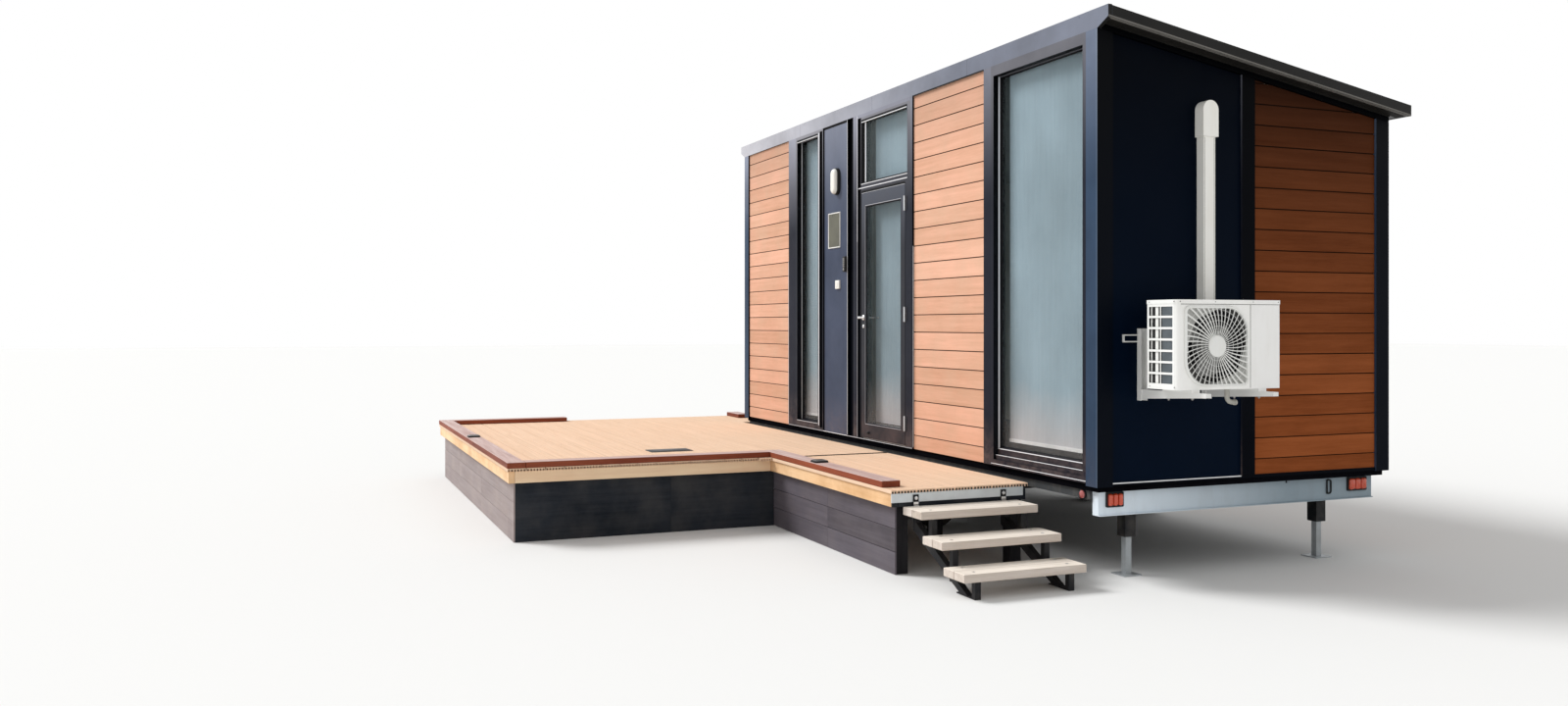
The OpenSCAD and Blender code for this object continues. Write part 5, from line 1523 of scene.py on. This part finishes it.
def makeUnitDetails():
    makeLouvres()
    makeUnitScrews()
    front, panel, top = unit["x1"] - 3.4, unit["panelY"], unit["z1"]
    boxPiece("unit_seams", "guardShade", "dark_plastic", [
        ((front, panel - 1.6, unit["z0"] + 6), (front + 1, panel + 1.6, top - 26)),
        ((front, unit["y0"] + 30, top - 29), (front + 1.2, unit["y1"] - 12, top - 26.5)),
    ])
    makeDrain()
    pipes = Shape()
    for radius, points in unit["pipes"].items():
        pipes.tube(smoothed(points), radius, 12)
    pipes.done("lagged_pipes", "whitePlastic", "white_plastic")


# the two long seams on the face of the duct's cover
duct = {
    "seamX": (3239.6, 3240.8),
    "seamY": (-440, -362),
    "seamZ": (1637, 2880),
}


def makeDuctDetails():
    (x0, x1), (z0, z1) = duct["seamX"], duct["seamZ"]
    seams = [((x0, y - 1, z0), (x1, y + 1, z1)) for y in duct["seamY"]]
    boxPiece("duct_seams", "gasket", "dark_plastic", seams)
    bolts = Shape()
    for z in unit["wallBoltZ"]:
        for y in unit["feetY"]:
            screwHead(bolts, "x", (unit["wallBoltX"], y, z), 4, 7)
    bolts.done("bracket_bolts", "screwSteel", "bright_metal")


dress("ac_casing", casingPaint())
makeGuard()
makeUnitDetails()
makeDuctDetails()
print("outdoor unit dressed")


# deck: reeded boards, kerbs, edge boards, joists, posts, skirts and lights
deck = {
    "top": 570,
    "under": 546,
    "edge": 456,
    "kerbTop": 615,
    "boardThick": 45,
    "post": 90,
    "platform": (-4170, 280, -4450, -1265),
    "walkway": (282, 2440, -2320, -1265),
    "beside": (-4170, -3205, -1264.5, -974),
    "seam": 335,
    "boardWide": 137,
    "boardGap": 5,
    "buttFirst": 1483,
    "buttStep": 593,
    "reeds": 9,
    "reedDepth": 3.2,
    "groovePitch": 22.8,
    "grooveDeep": 14,
    "screwFirst": 92,
    "screwPitch": 533,
    "screwHalf": 33,
    "screwDrift": (5, 3),
    "walkScrewX": (710, 1250, 1790, 2330),
    "kerbWide": 140,
    "kerbEnds": {"left": -3070, "beside": -3766},
    "kerbScrewPitch": 540,
    "joistX": [-4100 + i * (4265 / 8) for i in range(9)],
    "walkJoistPitch": 540,
    "joistsTo": -1325,
    "postRows": (-4380, -2874, -1368),
    "walkPostRows": (-2250, -1368),
    "besidePosts": ((-4100, -1077), (-3308, -1077)),
    "darkPlateAt": (-552, -2928),
    "darkPlate": (214, 372, 8),
    "lightsAt": ((280 + 2160 * 0.39, -2250), (-4170 + 4450 * 0.49, -4380)),
    # the frame's boards in plan: x from and to, y from and to
    "plans": {
        "long": {
            "platformFront": (-4157, 267, -4437, -4392),
            "walkwayFront": (222, 2411.5, -2307, -2262),
            "houseSide": (-4110, 2380, -1323, -1278),
            "besideBack": (-4111.5, -3218, -1032, -987),
        },
        "cross": {
            "platformLeft": (-4157, -4112, -4390, -987),
            "besideRight": (-3263, -3218, -1277.5, -1032.5),
            "platformRight": (222, 267, -4390, -2309),
        },
        "walkwayEnd": {
            "board": (2382, 2427, -2260, -1278),
            "cap": (2412, 2427, -2307, -2262),
        },
    },
}


def undersideGrooves(y0, y1):
    # from and to of each square groove under a board
    count = max(1, round((y1 - y0) / deck["groovePitch"]))
    step = (y1 - y0) / count
    return [(y0 + (k + 0.2) * step, y0 + (k + 0.8) * step) for k in range(count)]


def reededOutline(y0, y1):
    # section of a reeded board: small ridges along its top, square grooves along its underside
    pitch = (y1 - y0) / deck["reeds"]
    top, low = deck["top"], deck["top"] - deck["reedDepth"]
    under = deck["under"] + 1
    deep = under + deck["grooveDeep"]
    points = [(y0, under)]
    for a, b in undersideGrooves(y0, y1):
        points += [(a, under), (a, deep), (b, deep), (b, under)]
    points.append((y1, under))
    for k in range(deck["reeds"], 0, -1):
        right = y0 + k * pitch
        points += [(right - 0.01 - pitch * 0.06, low), (right - pitch * 0.2, top)]
        points += [(right - pitch * 0.74, top), (right - pitch * 0.88, low)]
    return points


def boardRows():
    # from and to of every row of boards, from the front edge to the house, and the rows' pitch
    y0, y1 = deck["platform"][2:]
    count = round((y1 - y0) / (deck["boardWide"] + deck["boardGap"]))
    pitch, gap = (y1 - y0) / count, deck["boardGap"] / 2
    return [(y0 + k * pitch + gap, y0 + (k + 1) * pitch - gap) for k in range(count)], pitch


def makeDecking():
    x0, x1 = deck["platform"][:2]
    walkX1, walkY0 = deck["walkway"][1:3]
    seam, top, under = deck["seam"], deck["top"], deck["under"]
    rows, pitch = boardRows()
    onWalk = [b > walkY0 + 20 for a, b in rows]
    boards = Shape()
    for k, (a, b) in enumerate(rows):
        butt = x0 + deck["buttFirst"] + deck["buttStep"] * (k % 3)
        butts = [x0, butt, seam - 5 if onWalk[k] else x1]
        for left, stop in zip(butts, butts[1:]):
            boards.prism("x", reededOutline(a, b), left + 0.8, stop - 0.8)
        if onWalk[k]:
            boards.prism("x", reededOutline(max(a, walkY0), b), seam + 5, walkX1)
    left, right, low, high = deck["beside"]
    half = (high - low) / 2
    for start in (low, low + half):
        boards.prism("x", reededOutline(start + 1.5, start + half - 1.5), left + 0.8, right - 0.8)
    boards.done("decking_boards", "deckBoards", "decking_timber", stands=("decking",))
    # painted shade: black plugs close the underside grooves at the walkway's end
    low, high = under + 1.2, under + deck["grooveDeep"] + 0.8
    plugs = [((walkX1 - 5, left, low), (walkX1 - 1.5, right, high))
             for (a, b), walk in zip(rows, onWalk) if walk
             for left, right in undersideGrooves(max(a, walkY0), b)]
    boxPiece("decking_groove_shade", "gasket", "dark_plastic", plugs, smooth=False)
    makeDeckingScrews(len(rows), pitch)
    # painted shade: a black strip in the seam, standing a little proud of the boards
    strip = [((seam - 4.6, walkY0 + 4, under + 0.4), (seam + 4.6, -1270, top + 6))]
    boxPiece("decking_seam_shade", "gasket", "dark_plastic", strip, bevel=2)
    # a flat dark plate on the decking
    wide, long, radius = deck["darkPlate"]
    darkPlate = Shape()
    darkPlate.stack("z", deck["darkPlateAt"], 4, [(wide, long, radius, top - 1), (wide, long, radius, top + 2),
                                          (wide - 6, long - 6, radius - 2, top + 4)])
    darkPlate.done("deck_dark_plate", "darkPlastic", "dark_plastic")


def makeDeckingScrews(rows, pitch):
    # a pair in every board over each joist, none of them quite in line
    x0, x1, y0 = deck["platform"][:3]
    walkX1, walkY0 = deck["walkway"][1:3]
    dice = random.Random(4)
    half, (driftX, driftY) = deck["screwHalf"], deck["screwDrift"]
    screws = Shape()
    for k in range(rows):
        y = y0 + (k + 0.5) * pitch
        walk = y > walkY0
        lines = [x0 + deck["screwFirst"] + i * deck["screwPitch"] for i in range(9)]
        if walk:
            lines += [deck["seam"] + 30, *deck["walkScrewX"]]
        for x in lines:
            if x0 + 20 < x < (walkX1 if walk else x1) - 20:
                for side in (-half, half):
                    spot = [x + dice.uniform(-driftX, driftX), y + side + dice.uniform(-driftY, driftY)]
                    screws.lathe("z", spot + [deck["top"] - 0.6], [(4.2, 0), (4.2, 0.8), (2, 0.9)], 8)
    screws.done("decking_screws", "screwSteel", "bright_metal", smooth=False)


def kerbBoard(shape, along, low, high, parts=1):
    # a kerb in one or more lengths, 2 mm apart
    axis = "xyz".index(along)
    length = (high[axis] - low[axis]) / parts
    for k in range(parts):
        start, stop = list(low), list(high)
        start[axis] = low[axis] + k * length + (1 if k else 0)
        stop[axis] = low[axis] + (k + 1) * length - (1 if k < parts - 1 else 0)
        shape.box(start, stop)


def makeKerbs():
    x0, x1, y0 = deck["platform"][:3]
    walkX1, walkY0 = deck["walkway"][1:3]
    besideY1, wide, ends = deck["beside"][3], deck["kerbWide"], deck["kerbEnds"]
    low, high = deck["top"], deck["kerbTop"]
    long = Shape()
    kerbBoard(long, "x", (x0, y0, low), (x1, y0 + wide, high), 2)
    kerbBoard(long, "x", (x1 - wide, walkY0, low), (walkX1 - wide, walkY0 + wide, high))
    kerbBoard(long, "x", (x0, besideY1 - wide, low), (ends["beside"], besideY1, high))
    long.done("kerbs_long", "kerbLong", "kerb_timber", stands=("deck_kerbs",), bevel=5, steps=3)
    cross = Shape()
    kerbBoard(cross, "y", (x0, y0 + wide + 2, low), (x0 + wide, ends["left"], high))
    kerbBoard(cross, "y", (x1 - wide, y0 + wide + 2, low), (x1, walkY0 - 2, high))
    cross.done("kerbs_cross", "kerbCross", "kerb_timber", stands=("deck_kerbs",), bevel=5, steps=3)
    # screws in pairs across each kerb
    half, pitch = wide // 2, deck["kerbScrewPitch"]
    along = [(x, y0 + half) for x in range(x0 + 110, x1, pitch)]
    along += [(x, walkY0 + half) for x in range(x1 + 60, walkX1 - wide, pitch - 60)]
    across = [(x0 + half, y) for y in range(y0 + 270, ends["left"] - 30, pitch)]
    across += [(x1 - half, y) for y in range(y0 + 270, walkY0, pitch)]
    short = [(x, besideY1 - half) for x in (x0 + 60, x0 + 340)]
    screws = Shape()
    for spots, asideX, asideY in ((along, 0, 38), (across, 38, 0), (short, 0, 38)):
        for x, y in spots:
            for side in (-1, 1):
                spot = (x + side * asideX, y + side * asideY, high - 0.6)
                screws.lathe("z", spot, [(5, 0), (5, 1.0), (2.5, 1.2)], 10)
    screws.done("kerb_screws", "screwSteel", "bright_metal", smooth=False)


def framePiece(name, finish, plans, low, high, bevel=2):
    corners = [((x0, y0, low), (x1, y1, high)) for x0, x1, y0, y1 in plans]
    boxPiece(name, finish, "pine", corners, stands=("deck_frame",), bevel=bevel)


def makeDeckFrame():
    # same boards as the solids, each with its own grain
    z0, z1 = deck["edge"], deck["under"]
    thick, post, plans = deck["boardThick"], deck["post"], deck["plans"]
    joistX, back = deck["joistX"], deck["joistsTo"]
    walkX = [joistX[-1] + i * deck["walkJoistPitch"] for i in range(5)]
    framePiece("edge_boards_long", "pineLong", plans["long"].values(), z0, z1)
    cross = list(plans["cross"].values())
    cross += [(x, x + thick, plans["long"]["platformFront"][3] + 2, back) for x in joistX]
    cross += [(x, x + thick, plans["long"]["walkwayFront"][3] + 2, back) for x in walkX[1:]]
    framePiece("joists", "pineCross", cross, z0, z1)
    framePiece("walkway_end_board", "skirtDark", plans["walkwayEnd"].values(), z0, z1)
    spots = [(x, y) for x in (joistX[0], joistX[4] - thick / 2, joistX[8] - thick)
             for y in deck["postRows"]]
    spots += [(walkX[i] - thick, y) for i in (2, 4) for y in deck["walkPostRows"]]
    spots += deck["besidePosts"]
    framePiece("deck_posts", "postsInShade", [(x, x + post, y, y + post) for x, y in spots], 0, z0 - 0.5, 3)


# boards that close the deck's sides, in three rows
skirts = {
    "rows": (0.5, 152, 304),
    "thick": 12,
    # by the piece: finish, axis along it, its wall, from, to, butt joints, groove between the rows
    "runs": {
        "skirt_front": ("skirtFront", "x", -4380, -4112, 222, (-2900, -1450, -40), 1),
        "skirt_walkway": ("skirtWalk", "x", -2250, 210, 2382, (1300,), 3),
        "skirt_side": ("skirtDark", "y", -4100, -4378, -987, (-3400, -2200), 3),
    },
    "innerRuns": ((-4378, -3150), (-3149, -2264)),
    "innerX": (210, 222),
}


def skirtRun(name, finish, along, wall, start, stop, cuts, groove):
    # rows with v grooves and butt joints
    shape = Shape()
    edges = [*skirts["rows"], deck["edge"]]
    stops = [start, *cuts, stop]
    face = wall - skirts["thick"]
    for z0, z1 in zip(edges, edges[1:]):
        lip = z1 - (groove if z1 < deck["edge"] else 0)
        outline = [(wall, z0), (face, z0 + 2), (face, lip), (wall, z1)]
        for a, b in zip(stops, stops[1:]):
            shape.prism(along, outline, a + 0.8, b - 0.8)
    shape.done(name, finish, "skirt_board", stands=("deck_skirts",), bevel=0.8)


def makeSkirts():
    for name, run in skirts["runs"].items():
        skirtRun(name, *run)
    inner = Shape()
    for a, b in skirts["innerRuns"]:
        inner.prism("y", rectangle(*skirts["innerX"], skirts["rows"][0], deck["edge"]), a, b)
    inner.done("skirt_inner", "skirtDark", "skirt_board", stands=("deck_skirts",), bevel=0.8)


def makeDeckLights():
    cases, rims, tops = Shape(), Shape(), Shape()
    # side, corner radius and height above the kerb of each layer
    layers = (
        (cases, ((110, 14, 0), (108, 14, 12), (98, 12, 15))),
        (rims, ((96, 12, 14), (95, 12, 18), (84, 10, 18.6), (82, 10, 14))),
        (tops, ((82, 10, 14), (78, 9, 17.5), (60, 7, 18.4))),
    )
    for spot in deck["lightsAt"]:
        for shape, rows in layers:
            rising = [(side, side, radius, deck["kerbTop"] + rise) for side, radius, rise in rows]
            shape.stack("z", spot, 5, rising, loop=shape is rims)
    cases.done("deck_light_cases", "lampBlack", "dark_plastic", stands=("deck_lights",), bevel=1)
    rims.done("deck_light_rims", "screwSteel", "bright_metal")
    tops.done("deck_light_tops", "darkPlastic", "dark_plastic", stands=("deck_lights",))


makeDecking()
makeKerbs()
makeDeckFrame()
makeSkirts()
makeDeckLights()
print("deck built")


# steps: two planks a tread, bolts on the clips
steps = {
    "x0": 2450,
    "run": 265,
    "deep": 250,
    "rise": 150,
    "top": 460,
    "thick": 52,
    "gap": 5,
    "y0": -2240,
    "y1": -1360,
    "stringerY": (-2139, -1465),
    "boardBolt": (2445, 512),
    "treadBolts": (55, 190),
    # low and high corner of each clip, as (x, z)
    "clips": (((2440, 470), (2445.5, 486)), ((2440, 461), (2449, 466))),
    "clipHalf": 18,
}


def makeSteps():
    treads = [(steps["x0"] + i * steps["run"], steps["top"] - i * steps["rise"]) for i in range(3)]
    half = (steps["deep"] - steps["gap"]) / 2
    planks = [((a, steps["y0"], z - steps["thick"]), (a + half, steps["y1"], z))
              for x, z in treads for a in (x, x + half + steps["gap"])]
    boxPiece("tread_planks", "treadBoards", "tread_timber", planks,
             stands=("stair_treads",), bevel=4, steps=3)
    bolts = Shape()
    boltX, boltZ = steps["boardBolt"]
    for y in steps["stringerY"]:
        bolts.lathe("x", (boltX, y, boltZ), [(13, 0), (13, 2), (9, 2), (9, 8), (7, 9), (1, 9)], 6)
        for x, z in treads:
            for inside in steps["treadBolts"]:
                bolts.lathe("z", (x + inside, y, z - 0.5), [(11, 0), (11, 1.6), (6, 3.0), (1, 3.2)], 14)
        for (x0, z0), (x1, z1) in steps["clips"]:
            bolts.box((x0, y - steps["clipHalf"], z0), (x1, y + steps["clipHalf"], z1))
    bolts.done("step_bolts", "brightSteel", "bright_metal")


makeSteps()
print("steps built")


# trailer: tyres, hubs, lamps, side markers and mudguard edgings
trailer = {
    "axleX": (-30, 730),
    "wheelY": 1050,
    "tyreR": 285,
    "boltCircle": 57,
    "beamX": 3110,
    "lampY": ((-1127, -992), (935, 1114)),
    "lampZ": 533,
    "lampTall": 98,
    "lensTall": 78,
    "hoopAt": (765, 524),
    "hoop": (36, 94, 5.5),
    "plugAt": (382, 574),
    "markerAt": (2980, 1200, 557),
    # turned profiles: (radius, distance from the middle), of a tyre only the half with its tread
    "tyreHalf": [(179, -62), (188, -70), (205, -76), (228, -81), (246, -82), (258, -79), (268, -73),
                 (276, -68), (277, -62), (282, -60), (284, -44), (276, -43), (276, -38), (285, -37),
                 (285, -16), (277, -15), (277, -10), (285, -9)],
    "hub": [(98, 0), (98, 6), (60, 10), (52, 26), (44, 30), (40, 52), (30, 58), (5, 60)],
    "hubNut": [(10, 0), (10, 12), (7, 16), (1, 17)],
    "markerBase": [(31, 0), (31, 9), (27, 11)],
    "markerDome": [(26, 8), (27, 12), (25, 17), (18, 21), (9, 22.6), (1, 23)],
    # outline of the thin edging, seen from the side
    "mudguardEdge": [(-345, 345), (-195, 590), (895, 590), (1045, 345),
                     (1035, 345), (889, 583), (-189, 583), (-335, 345)],
}


def makeTyres():
    tyres = Shape()
    hubs = Shape()
    half = trailer["tyreHalf"]
    profile = half + outward(reversed(half), -1)
    high, circle = trailer["tyreR"], trailer["boltCircle"]
    for x in trailer["axleX"]:
        for side in (-1, 1):
            y = side * trailer["wheelY"]
            tyres.lathe("y", (x, y, high), profile, 72, loop=True)
            hubs.lathe("y", (x, y, high), outward(trailer["hub"], side), 40)
            for k in range(5):
                angle = math.tau * (k + 0.5) / 5
                spot = (x + circle * math.cos(angle), y + side * 8, high + circle * math.sin(angle))
                hubs.lathe("y", spot, outward(trailer["hubNut"], side), 6)
    tyres.done("tyres_treaded", "rubber", "tyre", stands=("tyres",))
    hubs.done("wheel_hubs", "blackSteel", "black_steel", bevel=0.8)


def makeLamps():
    # black housings with ribbed red lenses, bulging over three bulbs
    cases, red, marker = Shape(), Shape(), Shape()
    face, z = trailer["beamX"], trailer["lampZ"]
    tall, lensTall = trailer["lampTall"], trailer["lensTall"]
    for y0, y1 in trailer["lampY"]:
        wide = y1 - y0
        cases.stack("x", ((y0 + y1) / 2, z), 4, [(wide, tall, 8, face), (wide, tall, 8, face + 12)])
        third = (wide - 18) / 3
        for k in range(3):
            bulge = [(third - 5 - 1.6 * inset, lensTall - 2 * inset, max(2, 13 - inset * 0.7), face + far)
                     for inset, far in ((0, 11), (0, 18), (3, 23), (8, 27), (15, 29.5))]
            red.stack("x", (y0 + 9 + (k + 0.5) * third, z), 5, bulge)
    x, markerY, markerZ = trailer["markerAt"]
    for side in (-1, 1):
        spot = (x, side * markerY, markerZ)
        cases.lathe("y", spot, outward(trailer["markerBase"], side), 32)
        marker.lathe("y", spot, outward(trailer["markerDome"], side), 32)
    wide, tall, thick = trailer["hoop"]
    hoop = roundedCorners(wide, tall, (4, 17, 17, 4), 6, trailer["hoopAt"])
    cases.tube([(face + 7, y, high) for y, high in hoop], thick, 10, loop=True)
    cases.done("lamp_cases", "lampBlack", "dark_plastic", stands=("trailer_lamps",), bevel=0.8)
    red.done("lenses_red", "lensRed", "lamp_red", stands=("trailer_lamps",))
    marker.done("side_markers", "lensShade", "lamp_red", stands=("trailer_lamps",))


def makeTrailerDetails():
    plug = Shape()
    screwHead(plug, "x", (trailer["beamX"] - 0.5, *trailer["plugAt"]), 2.5, 8)
    plug.done("beam_plug", "gasket", "dark_plastic")
    edging = Shape()
    for side in (-1, 1):
        y = side * (trailer["wheelY"] + 82.5)
        edging.prism("y", trailer["mudguardEdge"], *sorted((y - 0.5, y + side * 3)))
    edging.done("mudguard_edges", "brightEdge", "bright_metal", bevel=0.6)


makeTyres()
makeLamps()
makeTrailerDetails()
print("trailer dressed")


# pale floor and a soft daylight that comes from the deck's left
stage = {
    "floorColour": (0.80, 0.80, 0.79),
    "skyLight": 0.66,
    "backdrop": 1.0,
    "sunPower": 2.6,
    "sunFrom": (-0.50, -0.55, 0.67),
    "sunSoft": 24,
    "size": 90,
}


def makeStage():
    mesh = bmesh.new()
    bmesh.ops.create_grid(mesh, x_segments=1, y_segments=1, size=stage["size"])
    look = newGraph("stageFloor").surface({"Base Color": stage["floorColour"], "Roughness": 0.9,
                                           "Specular IOR Level": 0.1})
    addObject("stage_floor", addMesh("stage_floor", mesh, look))
    world = bpy.data.worlds.new("studio")
    bpy.context.scene.world = world
    graph = Graph(world)
    seen = 0
    for kind in ("Is Camera Ray", "Is Glossy Ray", "Is Transmission Ray"):
        seen = graph.calc("MAXIMUM", seen, graph.node("LightPath", output=kind))
    power = graph.between(seen, 0, 1, stage["skyLight"], stage["backdrop"])
    sky = graph.node("Background", inputs={"Color": (1.0, 1.0, 1.0), "Strength": power})
    graph.node("OutputWorld", inputs={"Surface": sky}, output=None)
    sun = addObject("sun", bpy.data.lights.new("sun", "SUN"))
    sun.data.energy = stage["sunPower"]
    sun.data.angle = math.radians(stage["sunSoft"])
    sun.rotation_euler = Vector(stage["sunFrom"]).to_track_quat("Z", "Y").to_euler()
    bpy.context.scene.view_settings.view_transform = "Standard"


makeStage()
print("stage lit")
